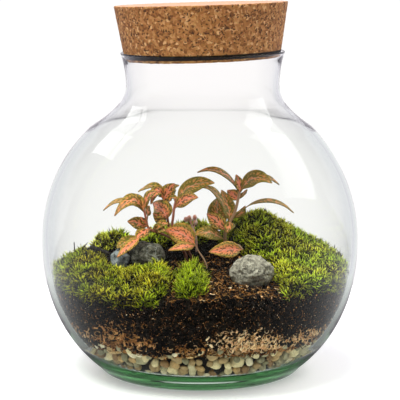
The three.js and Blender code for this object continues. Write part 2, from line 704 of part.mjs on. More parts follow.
const liftedSoil = soilLayer(GAP);
Object.entries(MOSSES).forEach(([name, spec]) => {
  const cutters = [liftedSoil, ...stones, ...holes, groove];
  const cushion = cut(mossCushion(spec, 0).intersect(space), cutters);
  addSolid(name, mainBody(cushion), finish(spec.colour, 0.9));
});

Object.entries(LEAFY_STEMS).forEach(([name, spec]) => {
  addSolid(name, leafyStem(spec), finish(spec.colour, 0.55));
});

export default terrarium;
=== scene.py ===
# %% [markdown]
# # A glass plant terrarium
# A round blown jar with a tilted cork, and in it pebbles, coir, potting soil, moss, stones and two nerve
# plants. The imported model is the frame: it gives every piece its place and size. In a few places this model is
# finer than the frame by a millimetre or a few, at the jar's lip, foot and floor, the cork's top and the tuft
# at the back left. Lengths in the cells are in millimetres, as a maker would measure them, and MM turns them
# to metres. Only the cell on the lights is in metres.

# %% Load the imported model
import math

import bpy
import numpy as np
from mathutils import Matrix, Vector


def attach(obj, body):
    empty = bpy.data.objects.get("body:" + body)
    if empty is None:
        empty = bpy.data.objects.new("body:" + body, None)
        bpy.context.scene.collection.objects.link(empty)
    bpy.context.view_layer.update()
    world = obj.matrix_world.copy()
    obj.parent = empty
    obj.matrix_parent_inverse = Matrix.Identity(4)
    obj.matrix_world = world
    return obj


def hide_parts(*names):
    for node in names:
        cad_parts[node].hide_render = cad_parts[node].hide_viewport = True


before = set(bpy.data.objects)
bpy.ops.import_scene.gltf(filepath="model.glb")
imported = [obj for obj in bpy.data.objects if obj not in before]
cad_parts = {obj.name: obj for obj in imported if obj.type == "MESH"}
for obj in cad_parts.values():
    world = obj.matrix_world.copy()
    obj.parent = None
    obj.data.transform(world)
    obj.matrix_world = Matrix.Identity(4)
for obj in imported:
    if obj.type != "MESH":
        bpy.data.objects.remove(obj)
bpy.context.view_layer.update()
MM = 0.001

# %% [markdown]
# ## Working by hand, in code
# Blender's operators act on what is selected, so every step starts by saying what that is. A finished piece
# gets a plain name, its finish, and the CAD nodes that it stands for.

# %% Choosing, joining and settling pieces


def let_go():
    if bpy.context.object and bpy.context.object.mode != "OBJECT":
        bpy.ops.object.mode_set(mode="OBJECT")
    bpy.ops.object.select_all(action="DESELECT")


def hold(*pieces):
    let_go()
    for piece in pieces:
        piece.select_set(True)
    bpy.context.view_layer.objects.active = pieces[0]
    return pieces[0]


def join(pieces):
    hold(*pieces)
    if len(pieces) > 1:
        bpy.ops.object.join()
    return pieces[0]


def apply(piece, kind, **settings):
    """Gives the piece one modifier with these settings and applies it."""
    hold(piece)
    modifier = piece.modifiers.new(kind.lower(), kind)
    for key, value in settings.items():
        setattr(modifier, key, value)
    bpy.ops.object.modifier_apply(modifier=modifier.name)


def settle(piece, name, finishes, nodes):
    """Names a finished piece, dresses it, and lets it stand for its CAD nodes."""
    hold(piece)
    bpy.ops.object.transform_apply(location=True, rotation=True, scale=True)
    piece.name = piece.data.name = name
    for finish in finishes:
        piece.data.materials.append(finish)
    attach(piece, "root")
    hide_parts(*nodes)
    piece.data.calc_loop_triangles()
    print(name, "has", len(piece.data.loop_triangles), "triangles")
    return piece


# %% Reading and writing a mesh's points


def points_of(piece):
    co = np.empty(len(piece.data.vertices) * 3, np.float32)
    piece.data.vertices.foreach_get("co", co)
    return co.reshape(-1, 3).astype(float)


def move_points(piece, co):
    piece.data.vertices.foreach_set("co", co.astype(np.float32).ravel())
    piece.data.update()


def write_number(piece, name, values):
    """Keeps one number for each point, which a finish can read by this name."""
    kept = piece.data.attributes.get(name) or piece.data.attributes.new(name, "FLOAT", "POINT")
    kept.data.foreach_set("value", np.broadcast_to(values, len(piece.data.vertices)).astype(np.float32))


# %% [markdown]
# ## Finishes
# Each finish is named for the real material and for how its surface came about. One function turns the
# colours that a picker shows into the numbers that the renderer mixes, and one adds a node.

# %% Colours and nodes


def colour(text):
    """An sRGB hex colour as linear red, green, blue and alpha."""
    parts = [int(text[i : i + 2], 16) / 255 for i in (1, 3, 5)]
    return (*[p / 12.92 if p <= 0.04045 else ((p + 0.055) / 1.055) ** 2.4 for p in parts], 1.0)


def add(tree, kind, inputs=(), stops=(), **settings):
    """Adds a shader node: inputs are values or the sockets that feed them, stops are a ramp's colours."""
    made = tree.nodes.new("ShaderNode" + kind)
    for key, value in settings.items():
        setattr(made, key, value)
    for key, value in dict(inputs).items():
        if isinstance(value, bpy.types.NodeSocket):
            tree.links.new(value, made.inputs[key])
        else:
            made.inputs[key].default_value = value
    for i, (place, shade) in enumerate(stops):
        ramp = made.color_ramp.elements
        stop = ramp[i] if i < 2 else ramp.new(place)
        stop.position, stop.color = place, colour(shade)
    return made


def new_finish(name, roughness, **values):
    """A finish with its surface shader, and the tree they are in."""
    finish = bpy.data.materials.new(name)
    finish.use_nodes = True
    surface = finish.node_tree.nodes["Principled BSDF"]
    surface.inputs["Roughness"].default_value = roughness
    for key, value in values.items():
        surface.inputs[key.replace("_", " ")].default_value = value
    return finish, finish.node_tree, surface


# %% [markdown]
# ## The camera, the table and the light
# The jar stands on a light table: white acrylic that glows from below, so that its shadow is soft and its
# foot is lit. Clear glass shows only what it bends and mirrors, so the room matters as much as the jar. It
# is white straight behind the jar, which leaves the middle of the glass clear, and greyer to the sides, which
# draws the outline of the glass. Bright windows give the reflections.

# %% The camera stands a little above the jar and looks down on it
camera = bpy.data.objects.new("camera", bpy.data.cameras.new("camera"))
bpy.context.collection.objects.link(camera)
CAMERA_DISTANCE = 1.2
CAMERA_HEIGHT = 0.3045
LOOKING_DOWN = 8.39
camera.location = (0, -CAMERA_DISTANCE, CAMERA_HEIGHT)
camera.rotation_euler = (math.radians(90 - LOOKING_DOWN), 0, 0)
camera.data.sensor_width = 36
camera.data.lens = 149.28
camera.data.shift_y = -0.00525
bpy.context.scene.camera = camera

# %% [markdown]
# The table isn't evenly bright. Seen straight, it glows less close to the foot: a painted shadow, which deepens
# the jar's soft shadow. Mirrored once in the glass, it is bright far off and to the sides, and again under the
# foot: a painted reflection, which gives the base its bright arc. Seen through the glass, it is brightest under
# the middle of the jar, which is light painted for the glass alone.

# %% How bright the table is, with its painted shadow, painted reflection and painted light
# Each row says from which distance to which from the jar's middle, and how bright the table is at each.
TABLE_LIGHT = {
    # The first row is the glow, weaker near the foot as a painted shadow; the next two are a painted reflection
    # seen in the glass, and the last two painted light seen through it.
    "glow": (68, 84, 0.24, 0.4),
    "painted_reflection_far": (90, 330, 0.3, 0.85),
    "painted_arc_under": (66, 78, 0.6, 0.0),
    "painted_light_near": (52, 66, 1.9, 0.5),
    "painted_light_wide": (110, 300, 0.0, 0.5),
}
PAINTED_REFLECTION_ASIDE = (30, 200, 0.3, 1.0)  # the same, but by the distance to the left or right only


def run(source, start, end, first, last):
    """Inputs for a Map Range node that runs from first to last between two lengths in millimetres."""
    return {0: source, 1: start * MM, 2: end * MM, 3: first, 4: last}


# %% The light table
let_go()
bpy.ops.mesh.primitive_circle_add(vertices=128, radius=0.34, fill_type="NGON", location=(0, 0, -0.0002))
table = bpy.context.object
table.name = "light_table"
acrylic, tree, surface = new_finish("acrylic_opal_lit_from_below", 0.6)
surface.inputs["Base Color"].default_value = colour("#f2f2f2")
surface.inputs["Emission Color"].default_value = (1, 1, 1, 1)
position = add(tree, "NewGeometry").outputs["Position"]
reach = add(tree, "VectorMath", {0: position}, operation="LENGTH").outputs["Value"]
light = {name: add(tree, "MapRange", run(reach, *numbers)).outputs[0] for name, numbers in TABLE_LIGHT.items()}
# The glow, weaker near the foot, is a painted shadow.
tree.links.new(light["glow"], surface.inputs["Emission Strength"])
sideways = add(tree, "SeparateXYZ", {0: position})
aside = add(tree, "Math", {0: sideways.outputs["X"]}, operation="ABSOLUTE")
clear_of = add(tree, "MapRange", run(aside.outputs[0], *PAINTED_REFLECTION_ASIDE))
# Painted reflection: the table as the glass mirrors it, bright far off, to the sides and under the foot.
painted_reflection = add(
    tree,
    "Math",
    {0: light["painted_reflection_far"], 1: clear_of.outputs[0], 2: light["painted_arc_under"]},
    operation="MULTIPLY_ADD",
)
mirrored = add(tree, "Emission", {"Color": colour("#f7f4fa"), "Strength": painted_reflection.outputs[0]})
# Painted light: the table as seen through the glass, brightest under the jar.
painted_light = add(tree, "Math", {0: light["painted_light_near"], 1: light["painted_light_wide"]}, operation="ADD")
through = add(tree, "Emission", {"Color": colour("#f7f6f8"), "Strength": painted_light.outputs[0]})

# %% Which light each ray sees on the table
# Camera and diffuse rays see the surface with its glow; rays after one glossy bounce see the painted reflection,
# and the rest the painted light.
ray = add(tree, "LightPath")
once = add(tree, "Math", {0: ray.outputs["Glossy Depth"], 1: 1, 2: 0.5}, operation="COMPARE")
bounce = add(tree, "MixShader", {0: once.outputs[0], 1: through.outputs[0], 2: mirrored.outputs[0]})
lit = add(tree, "MixShader", {0: ray.outputs["Is Diffuse Ray"], 1: bounce.outputs[0], 2: surface.outputs[0]})
direct = add(tree, "MixShader", {0: ray.outputs["Is Camera Ray"], 1: lit.outputs[0], 2: surface.outputs[0]})
tree.links.new(direct.outputs[0], tree.nodes["Material Output"].inputs["Surface"])
table.data.materials.append(acrylic)

# %% [markdown]
# The room is a colour for each way one looks, from 0, straight past the jar, to 1, straight back. Light that
# the glass bends sees a white room on the near side too, so that the jar is clear from behind, and light that
# it mirrors sees a dim one there. Blender counts bent light as glossy, so the mirrored light is told by Is
# Reflection Ray. Seen straight, the room is white.

# %% The room, by the way one looks in it
WALLS = [
    (0.058, "#fff9fc"),
    (1.0, "#8f8f96"),
    (0.078, "#f0edf3"),
    (0.144, "#e4dfe9"),
    (0.333, "#cbc6d4"),
    (0.61, "#a9a6b0"),
]
ROOM_BRIGHTNESS = 1.045
world = bpy.data.worlds.new("white_room")
bpy.context.scene.world = world
world.use_nodes = True
tree = world.node_tree
background = tree.nodes["Background"]
look = add(tree, "TexCoord").outputs["Generated"]
facing = add(tree, "VectorMath", {0: look, 1: (0, 0.99, -0.14)}, operation="DOT_PRODUCT")
angle = add(tree, "Math", {0: facing.outputs["Value"]}, operation="ARCCOSINE")
share = add(tree, "MapRange", {0: angle.outputs[0], 1: 0.0, 2: math.pi})
room = add(tree, "ValToRGB", {0: share.outputs[0]}, WALLS)
path = add(tree, "LightPath").outputs
open_side = add(tree, "MapRange", {0: share.outputs[0], 1: 0.4, 2: 0.5})
bent = add(tree, "Math", {0: open_side.outputs[0], 1: path["Is Transmission Ray"]}, operation="MULTIPLY")
opened = add(tree, "Mix", {0: bent.outputs[0], 6: room.outputs[0], 7: colour("#fff9fc")}, data_type="RGBA")
behind = add(tree, "MapRange", {0: share.outputs[0], 1: 0.55, 2: 0.85, 3: 0.0, 4: 0.7})
mirror = add(tree, "Math", {0: behind.outputs[0], 1: path["Is Reflection Ray"]}, operation="MULTIPLY")
dimmed = add(tree, "Mix", {0: mirror.outputs[0], 6: opened.outputs[2], 7: colour("#141416")}, data_type="RGBA")
shade = add(tree, "Mix", {0: path["Is Camera Ray"], 6: dimmed.outputs[2], 7: (1, 1, 1, 1)}, data_type="RGBA")
tree.links.new(shade.outputs[2], background.inputs["Color"])
background.inputs["Strength"].default_value = ROOM_BRIGHTNESS
bpy.context.scene.view_settings.view_transform = "Standard"
bpy.context.scene.view_settings.look = "None"
bounces = bpy.context.scene.cycles
bounces.max_bounces, bounces.glossy_bounces, bounces.transmission_bounces = 24, 16, 20
bounces.transparent_max_bounces = 16

# %% Windows that the glass mirrors
WINDOW_DISTANCE = 2.5
WINDOW_STRENGTH = 3.5
SHOULDER = Vector((0, -0.06, 0.17))  # the place on the jar that mirrors them


def window(name, corners):
    """A bright strip. Its corners, in pairs along it, lie in these directions from the jar's shoulder."""
    let_go()
    bpy.ops.mesh.primitive_grid_add(x_subdivisions=1, y_subdivisions=len(corners) // 2 - 1, size=1)
    pane = bpy.context.object
    pane.name = name
    for point, corner in zip(pane.data.vertices, corners):
        point.co = Vector(corner).normalized() * WINDOW_DISTANCE + SHOULDER
    glow, tree, surface = new_finish(name, 1.0)
    light = add(tree, "Emission", {"Strength": WINDOW_STRENGTH})
    tree.links.new(light.outputs[0], tree.nodes["Material Output"].inputs["Surface"])
    pane.data.materials.append(glow)


outer_pane = [(-0.686, 0.568, 0.454), (-0.743, 0.298, 0.599), (-0.468, 0.653, 0.595), (-0.496, 0.452, 0.741)]
inner_pane = [(-0.747, 0.274, 0.606), (-0.748, 0.185, 0.637), (-0.498, 0.428, 0.754), (-0.494, 0.353, 0.795)]
tall_low = [(0.865, -0.255, 0.432), (0.947, 0.191, 0.260), (0.748, -0.054, 0.662), (0.732, 0.396, 0.555)]
tall_high = [(0.550, 0.096, 0.830), (0.542, 0.517, 0.662), (0.380, 0.207, 0.901), (0.355, 0.506, 0.786)]
window("window_left_outer", outer_pane)
window("window_left_inner", inner_pane)
window("window_right_tall", tall_low + tall_high)

# %% Two soft lamps that the glass doesn't mirror


def soft_lamp(name, size, power, place, aim):
    """A round lamp at this place. It looks at the point this high above the middle of the table."""
    lamp = bpy.data.objects.new(name, bpy.data.lights.new(name, "AREA"))
    bpy.context.collection.objects.link(lamp)
    lamp.data.shape, lamp.data.size, lamp.data.energy = "DISK", size, power
    lamp.location = place
    lamp.rotation_euler = (Vector(place) - Vector((0, 0, aim))).to_track_quat("Z", "Y").to_euler()
    lamp.visible_glossy = lamp.visible_transmission = False
    print(name, "gives", power, "W")


soft_lamp("softbox_above", 0.8, 32, (-0.35, -0.55, 1.7), 0.1)
soft_lamp("fill_card_front", 0.7, 3.5, (-0.1, -1.25, 0.75), 0.12)

# %% [markdown]
# ## The glass jar
# The jar is blown and turned, so it is the same all round: one profile spun about its axis gives it. The
# profile runs up the outside, over the lip and down the inside as one closed line, because clear glass
# bends light rightly only when its wall has both faces. The thick floor is where the green shows, so the
# green is inside the glass, as absorption, and not on its surface.

# %% Sizes of the jar
JAR_HEIGHT = 232  # to the frame's rim
BELLY_LEVEL = 98  # where the bowl is widest
NECK_LEVEL = 208  # where the neck is narrowest
FLOOR = 8  # thickness of the glass under the pebbles
HEEL_LEVEL = 24  # where the thick heel has run into the wall
INNER_BOWL_TOP = 199
SQUARENESS = 2.2  # of the lower bowl: 2 would be an ellipse, and more is squarer
OUTER_BELLY = (115.3, 115.5, 114.5)  # the radius, and how far the curve reaches down and up
INNER_BELLY = (111.6, 111.0, 111.2)


def belly(z, radius, below_reach, above_reach):
    """The bowl's radius at height z: squarish below its widest place, round above it."""
    below = np.clip((BELLY_LEVEL - z) / below_reach, 0, 0.999)
    above = np.clip((z - BELLY_LEVEL) / above_reach, 0, 0.999)
    return radius * (1 - below**SQUARENESS) ** (1 / SQUARENESS) * np.sqrt(1 - above**2)


def inner_radius(z):
    """The inside's radius at height z. At the bottom, the glass thickens to a rounded heel."""
    levels = [FLOOR, 8.6, 10.5, 15.7, HEEL_LEVEL]
    heel = np.interp(z, levels, [52, 62, 71.3, 79.7, belly(HEEL_LEVEL, *INNER_BELLY)])
    return np.where(z < HEEL_LEVEL, heel, belly(np.clip(z, HEEL_LEVEL, INNER_BOWL_TOP), *INNER_BELLY))


def press_inside(piece, clearance=0.25):
    """What would pass through the glass or its floor is pressed flat against it."""
    co = points_of(piece) / MM
    co[:, 2] = np.maximum(co[:, 2], FLOOR + clearance)
    limit = inner_radius(co[:, 2] - clearance) - clearance
    share = np.minimum(1, limit / np.maximum(np.hypot(co[:, 0], co[:, 1]), 1e-6))
    co[:, :2] *= share[:, None]
    move_points(piece, co * MM)


def draw_in(piece, depth):
    """Draws a piece's side in, so that what is laid before it shows against the glass."""
    co = points_of(piece) / MM
    limit = inner_radius(co[:, 2]) - depth
    share = np.minimum(1, limit / np.maximum(np.hypot(co[:, 0], co[:, 1]), 1e-6))
    co[:, :2] *= share[:, None]
    move_points(piece, co * MM)


# %% Turning a profile


def smooth_line(corners, steps=6):
    """A curved line through the corners."""
    corners = np.array(corners, float)
    ends = np.vstack([2 * corners[0] - corners[1], corners, 2 * corners[-1] - corners[-2]])
    line = [corners[0]]
    for a, b, c, d in zip(ends, ends[1:], ends[2:], ends[3:]):
        for t in np.arange(1, steps + 1) / steps:
            square, cube = 2 * a - 5 * b + 4 * c - d, 3 * b - a - 3 * c + d
            line.append(0.5 * (2 * b + (c - a) * t + square * t**2 + cube * t**3))
    return [tuple(point) for point in line]


def turn(profile, steps):
    """Draws a profile of (radius, height) point by point and spins it round the jar's axis."""
    let_go()
    bpy.ops.mesh.primitive_plane_add(size=1)
    piece = bpy.context.object
    bpy.ops.object.mode_set(mode="EDIT")
    bpy.ops.mesh.merge(type="CENTER")
    last = (0, 0)
    for number, point in enumerate(profile):
        move = ((point[0] - last[0]) * MM, 0, (point[1] - last[1]) * MM)
        if number == 0:
            bpy.ops.transform.translate(value=move)
        else:
            bpy.ops.mesh.extrude_region_move(TRANSFORM_OT_translate={"value": move})
        last = point
    bpy.ops.mesh.select_all(action="SELECT")
    bpy.ops.mesh.spin(steps=steps, angle=2 * math.pi, center=(0, 0, 0), axis=(0, 0, 1))
    bpy.ops.mesh.select_all(action="SELECT")
    bpy.ops.mesh.remove_doubles(threshold=0.00002)
    bpy.ops.mesh.normals_make_consistent(inside=False)
    bpy.ops.object.mode_set(mode="OBJECT")
    bpy.ops.object.shade_smooth()
    return piece


# %% [markdown]
# The foot curls in softly over its last 4 mm, to a narrow flat that the jar stands on. The lip is a small round
# bead at the top of a neck that is a little narrower in its middle.

# %% The jar's profile, and the jar
outer_levels = np.concatenate([np.linspace(6, 40, 16), np.linspace(44, 180, 36)])
foot = [(0, 0), (25, 0), (45, 0), (58.5, 0), (63.5, 0.05), (67.2, 0.5), (70.1, 1.3), (72.2, 2.5), (73.8, 4.0)]
outside = foot + [(float(belly(z, *OUTER_BELLY)), float(z)) for z in outer_levels]
shoulder = [outside[-1], (70.6, 187), (62.9, 194), (58.2, 200)]
neck = shoulder + [(55.7, NECK_LEVEL), (55.9, 217), (57.3, 226), (58.5, 231)]
lip = [(59.2, 232.8), (59.5, 233.8), (59.1, 234.4), (58.4, 234.1), (57.7, 232.7), (56.9, 230.5), (55.4, 226)]
throat = [(53.8, 217), (53.5, NECK_LEVEL), (55.6, 200.5), (60.4, 193.5), (67.6, 186.5)]
inner_levels = np.concatenate([np.linspace(180, 44, 36), np.linspace(40, 27, 6)])
inside = [(float(belly(z, *INNER_BELLY)), float(z)) for z in inner_levels]
heel = [inside[-1], (87.0, 22.6), (80.0, 15.6), (71.3, 10.5), (62, 8.5), (52, FLOOR)]
profile = outside[:-1] + smooth_line(neck + lip + throat + inside[:1], 3) + inside[1:-1]
profile += smooth_line(heel, 4) + [(38, FLOOR), (20, FLOOR), (0, FLOOR)]
jar = turn(profile, 160)

# %% [markdown]
# The neck of a hand-blown jar stands a little off the bowl's axis, and its rim slopes. The points above the
# shoulder are moved by those small amounts, which fade in over the height.

# %% Lean the neck and slope the rim
NECK_LEAN = 1.9  # how far off the bowl's axis the neck stands
LEAN_FROM = 150  # height from which the shoulder leans
RIM_SLOPE = 0.0115  # rise of the rim for each millimetre to the right


def fade(z, low, high):
    """0 below the low level and 1 above the high one, with a soft run between them."""
    t = np.clip((z - low) / (high - low), 0, 1)
    return t * t * (3 - 2 * t)


co = points_of(jar) / MM
co[:, 0] += NECK_LEAN * fade(co[:, 2], LEAN_FROM, NECK_LEVEL)
co[:, 2] += RIM_SLOPE * co[:, 0] * fade(co[:, 2], NECK_LEVEL, JAR_HEIGHT)
move_points(jar, co * MM)

# %% [markdown]
# Soda-lime glass bends light by 1.52 and is fire-polished, so it has no roughness. It absorbs red and blue a
# little along the way, which shows only where the light goes through centimetres of it, at the foot. The
# lamps and the light that bounces off the moss pass straight through it, or the inside would stay dark.

# %% Green soda-lime glass, clear where it is thin
glass, tree, surface = new_finish("soda_lime_glass_blown", 0.0, IOR=1.52, Transmission_Weight=1.0)
surface.inputs["Base Color"].default_value = (1, 1, 1, 1)
surface.inputs["Specular Tint"].default_value = (0.1, 0.1, 0.1, 1)
output = tree.nodes["Material Output"]
ray = add(tree, "LightPath")
clear = add(tree, "BsdfTransparent", {0: (0.96, 0.975, 0.965, 1)})
daylight = add(tree, "MixShader", {0: ray.outputs["Is Diffuse Ray"], 1: surface.outputs[0], 2: clear.outputs[0]})
lamps = add(tree, "MixShader", {0: ray.outputs["Is Shadow Ray"], 1: daylight.outputs[0], 2: clear.outputs[0]})
tree.links.new(lamps.outputs[0], output.inputs["Surface"])
green = add(tree, "VolumeAbsorption", {"Color": (0.22, 0.75, 0.26, 1), "Density": 14.0})
tree.links.new(green.outputs[0], output.inputs["Volume"])
settle(jar, "jar_blown_glass", [glass], ["glass_jar"])

# %% [markdown]
# ## Rough things
# Cork, soil and stones are rough in their shape, not only in their finish. A pattern moves their points in
# and out. Blender's own Clouds and Voronoi patterns do that, at a size that is given in millimetres.

# %% Roughening


def roughen(piece, kind, size, depth, level=0.5):
    """Moves the points by a pattern of this size; level is the part of the pattern that stays where it is."""
    pattern = bpy.data.textures.new("relief", kind)
    pattern.noise_scale = size * MM
    apply(piece, "DISPLACE", texture=pattern, texture_coords="LOCAL", strength=depth * MM, mid_level=level)


# %% [markdown]
# ## The cork stopper
# The stopper is pressed from cork granules of 2 to 4 mm and turned to a taper. It sits a little crooked in
# the neck, and its top was sawn a little out of square, higher at the front left. It is turned as the jar is,
# with its side drawn in small steps so that the granules can stand in and out of it, and then it is tilted.

# %% Turn, roughen and tilt the stopper
CORK_SEAT = 229.3  # level of its lower end
CORK_TILT = math.radians(1.9)
CORK_HEIGHT = 38.7
CORK_BEVEL = 0.8
CORK_RADII = (56.4, 62.9)  # at its lower and its upper end
SAWN_HIGHER = 1.1  # how much more the sawn top rises in its middle than the frame's
SAWN_SLOPE = (0.0045, 0.0095)  # how much more for each millimetre to the left and to the front
rise = np.linspace(CORK_BEVEL, CORK_HEIGHT - CORK_BEVEL, 42)
taper = np.interp(rise, [rise[0], rise[-1]], CORK_RADII)
under = [(r, 0.0) for r in range(0, 55, 3)] + [(55.7, 0.1)]
over = [(62.4, 38.6)] + [(r, CORK_HEIGHT) for r in range(60, -1, -3)]
cork = turn(under + list(zip(taper.tolist(), rise.tolist())) + over, 260)
roughen(cork, "VORONOI", 2.2, -0.4, 0.0)
roughen(cork, "CLOUDS", 1.1, 0.3, 0.75)
co = points_of(cork) / MM
higher = SAWN_HIGHER - SAWN_SLOPE[1] * co[:, 1] - SAWN_SLOPE[0] * co[:, 0]
co[:, 2] += higher * fade(co[:, 2], 5, CORK_HEIGHT)
move_points(cork, co * MM)
seated = Matrix.Translation((NECK_LEAN * MM, 0, CORK_SEAT * MM)) @ Matrix.Rotation(-CORK_TILT, 4, "Y")
cork.data.transform(seated)

# %% [markdown]
# The finish of the cork: every granule has its own brown, some are cream, and dark flecks of bark lie
# between them. A Voronoi pattern gives the granules and their colours, and a second, finer one the flecks.
# What looks up, the sawn top, is painted paler than the side, a painted highlight, and a dark ring of painted
# shade lies on the side behind the lip.

# %% Pressed cork
cork_finish, tree, surface = new_finish("agglomerated_cork_pressed", 0.85)
place = add(tree, "TexCoord").outputs["Object"]
wobble = add(tree, "TexNoise", {"Vector": place, "Scale": 260, "Detail": 2})
BENDING = (0.0028, 0.0028, 0.0028)
bent = add(tree, "VectorMath", {0: wobble.outputs["Color"], 1: BENDING, 2: place}, operation="MULTIPLY_ADD")
granule = add(tree, "TexVoronoi", {"Vector": bent.outputs[0], "Scale": 560})
pick = add(tree, "SeparateColor", {0: granule.outputs["Color"]})
browns = add(
    tree,
    "ValToRGB",
    {0: pick.outputs[0]},
    [(0.0, "#7a4b26"), (1.0, "#e4b57c"), (0.25, "#a36a38"), (0.6, "#b67c45"), (0.88, "#ca9358")],
)
speck = add(tree, "TexVoronoi", {"Vector": bent.outputs[0], "Scale": 900})
chance = add(tree, "SeparateColor", {0: speck.outputs["Color"]})
patch = add(tree, "TexNoise", {"Vector": place, "Scale": 210, "Detail": 1})
odds = add(tree, "Math", {0: patch.outputs["Fac"], 1: 0.6, 2: chance.outputs[1]}, operation="MULTIPLY_ADD")
dark = add(tree, "MapRange", {0: odds.outputs[0], 1: 1.12, 2: 1.2})
fine = add(tree, "TexNoise", {"Vector": place, "Scale": 1400, "Detail": 3})
faded = add(
    tree,
    "Mix",
    {0: 0.5, 6: browns.outputs[0], 7: fine.outputs["Color"]},
    data_type="RGBA",
    blend_type="SOFT_LIGHT",
)
flecked = add(tree, "Mix", {0: dark.outputs[0], 6: faded.outputs[2], 7: colour("#5a3820")}, data_type="RGBA")

# %% The cork's painted highlight on top and its ring of painted shade
# The ring of painted shade behind the lip, given by its levels above the cork's lower end.
SHADE_RING = (1.9, 2.4, 5.0, 5.6)  # above the cork's lower end: where it starts, is full, is still full, and ends
axis = (-math.sin(CORK_TILT), 0, math.cos(CORK_TILT))
level = add(tree, "VectorMath", {0: place, 1: axis}, operation="DOT_PRODUCT")
seat = Vector((NECK_LEAN, 0, CORK_SEAT)).dot(axis)
top = add(tree, "SeparateXYZ", {0: add(tree, "NewGeometry").outputs["True Normal"]})
# Faces that look up are mixed to a pale colour: a painted highlight on the top.
high = add(tree, "MapRange", {0: top.outputs["Z"], 1: 0.7, 2: 0.85, 3: 0.0, 4: 0.6})
cut = add(tree, "Mix", {0: high.outputs[0], 6: flecked.outputs[2], 7: colour("#d9b49c")}, data_type="RGBA")
starts, full, still_full, ends = [(seat + step) * MM for step in SHADE_RING]
# Between these levels the side is near black: painted shade behind the lip.
above = add(tree, "MapRange", {0: level.outputs["Value"], 1: starts, 2: full})
below = add(tree, "MapRange", {0: level.outputs["Value"], 1: ends, 2: still_full})
band = add(tree, "Math", {0: above.outputs[0], 1: below.outputs[0]}, operation="MULTIPLY")
painted_shade_ring = add(tree, "Mix", {0: band.outputs[0], 6: cut.outputs[2], 7: colour("#140c07")}, data_type="RGBA")
tree.links.new(painted_shade_ring.outputs[2], surface.inputs["Base Color"])
height = add(tree, "Math", {0: granule.outputs["Distance"], 1: fine.outputs["Fac"]}, operation="ADD")
bump = add(tree, "Bump", {"Height": height.outputs[0], "Strength": 0.35, "Distance": 0.0006})
tree.links.new(bump.outputs[0], surface.inputs["Normal"])
settle(cork, "cork_stopper_pressed", [cork_finish], ["cork_stopper"])

# %% [markdown]
# ## Many of one thing
# Pebbles, crumbs, fibres and moss shoots are modelled once or a few times and then copied in hundreds. Each
# copy becomes part of one mesh, at its own place, turn and size, and carries a number of its own, its tint,
# from which the finish takes its colour. A model's own number, tip, says how far along a shoot a point is.

# %% Copying models into one mesh


def copies(models, picks, places, tints):
    """One piece made of copies of the models: which model, its 4 x 4 place, and its tint, for each copy."""
    co, corners, sizes, tint, tip = [], [], [], [], []
    start = 0
    for number, model in enumerate(models):
        mesh = model.data
        mine = np.flatnonzero(picks == number)
        shape = points_of(model)
        loops, totals = np.empty(len(mesh.loops), np.int64), np.empty(len(mesh.polygons), np.int64)
        mesh.loops.foreach_get("vertex_index", loops)
        mesh.polygons.foreach_get("loop_total", totals)
        along = np.zeros(len(shape), np.float32)
        if "tip" in mesh.attributes:
            mesh.attributes["tip"].data.foreach_get("value", along)
        placed = np.einsum("nij,vj->nvi", places[mine, :3, :3], shape) + places[mine, None, :3, 3]
        co.append(placed.reshape(-1, 3))
        corners.append((loops[None] + start + np.arange(len(mine))[:, None] * len(shape)).ravel())
        sizes.append(np.tile(totals, len(mine)))
        tint.append(np.repeat(tints[mine], len(shape)))
        tip.append(np.tile(along, len(mine)))
        start += len(shape) * len(mine)
    co, corners, sizes = np.vstack(co), np.concatenate(corners), np.concatenate(sizes)
    mesh = bpy.data.meshes.new("copies")
    mesh.vertices.add(len(co))
    mesh.loops.add(len(corners))
    mesh.polygons.add(len(sizes))
    mesh.vertices.foreach_set("co", co.astype(np.float32).ravel())
    mesh.loops.foreach_set("vertex_index", corners.astype(np.int32))
    mesh.polygons.foreach_set("loop_start", (np.cumsum(sizes) - sizes).astype(np.int32))
    mesh.update(calc_edges=True)
    piece = bpy.data.objects.new("copies", mesh)
    bpy.context.collection.objects.link(piece)
    write_number(piece, "tint", np.concatenate(tint))
    write_number(piece, "tip", np.concatenate(tip))
    for model in models:
        bpy.data.objects.remove(model)
    return piece


def stand(points, directions, sizes, seed, stretch=(1, 1, 1)):
    """Places for copies: each at its point in metres, its Z along its direction, turned at random about it."""
    draw = np.random.default_rng(seed)
    z = directions / np.linalg.norm(directions, axis=1, keepdims=True)
    side = np.cross(z, np.where(np.abs(z[:, 2:]) > 0.9, (1.0, 0, 0), (0, 0, 1.0)))
    side /= np.linalg.norm(side, axis=1, keepdims=True)
    ahead = np.cross(z, side)
    turn = draw.random(len(z))[:, None] * 2 * math.pi
    x = side * np.cos(turn) + ahead * np.sin(turn)
    y = np.cross(z, x)
    places = np.zeros((len(z), 4, 4))
    for column, (axis, share) in enumerate(zip((x, y, z), stretch)):
        places[:, :3, column] = axis * sizes[:, None] * share
    places[:, :3, 3] = points
    places[:, 3, 3] = 1
    return places


# %% Choosing places on a CAD node


def spots(node, spacing, seed, keep):
    """Places spread evenly over a CAD node's faces, in metres, with the way each face looks."""
    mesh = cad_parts[node].data
    mesh.calc_loop_triangles()
    corners = np.empty(len(mesh.loop_triangles) * 3, np.int32)
    mesh.loop_triangles.foreach_get("vertices", corners)
    a, b, c = points_of(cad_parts[node])[corners.reshape(-1, 3)].transpose(1, 0, 2)
    cross = np.cross(b - a, c - a)
    area = np.linalg.norm(cross, axis=1)
    draw = np.random.default_rng(seed)
    chosen = draw.choice(len(a), int(area.sum() / 2 / (spacing * MM) ** 2 * 4), p=area / area.sum())
    u, v = draw.random((2, len(chosen), 1))
    u, v = np.where(u + v > 1, 1 - u, u), np.where(u + v > 1, 1 - v, v)
    points = a[chosen] + u * (b - a)[chosen] + v * (c - a)[chosen]
    normals = cross[chosen] / area[chosen, None]
    _, first = np.unique(np.floor(points / (spacing * MM)).astype(int), axis=0, return_index=True)
    points, normals = points[first], normals[first]
    kept = keep(points / MM, normals)
    return points[kept], normals[kept]
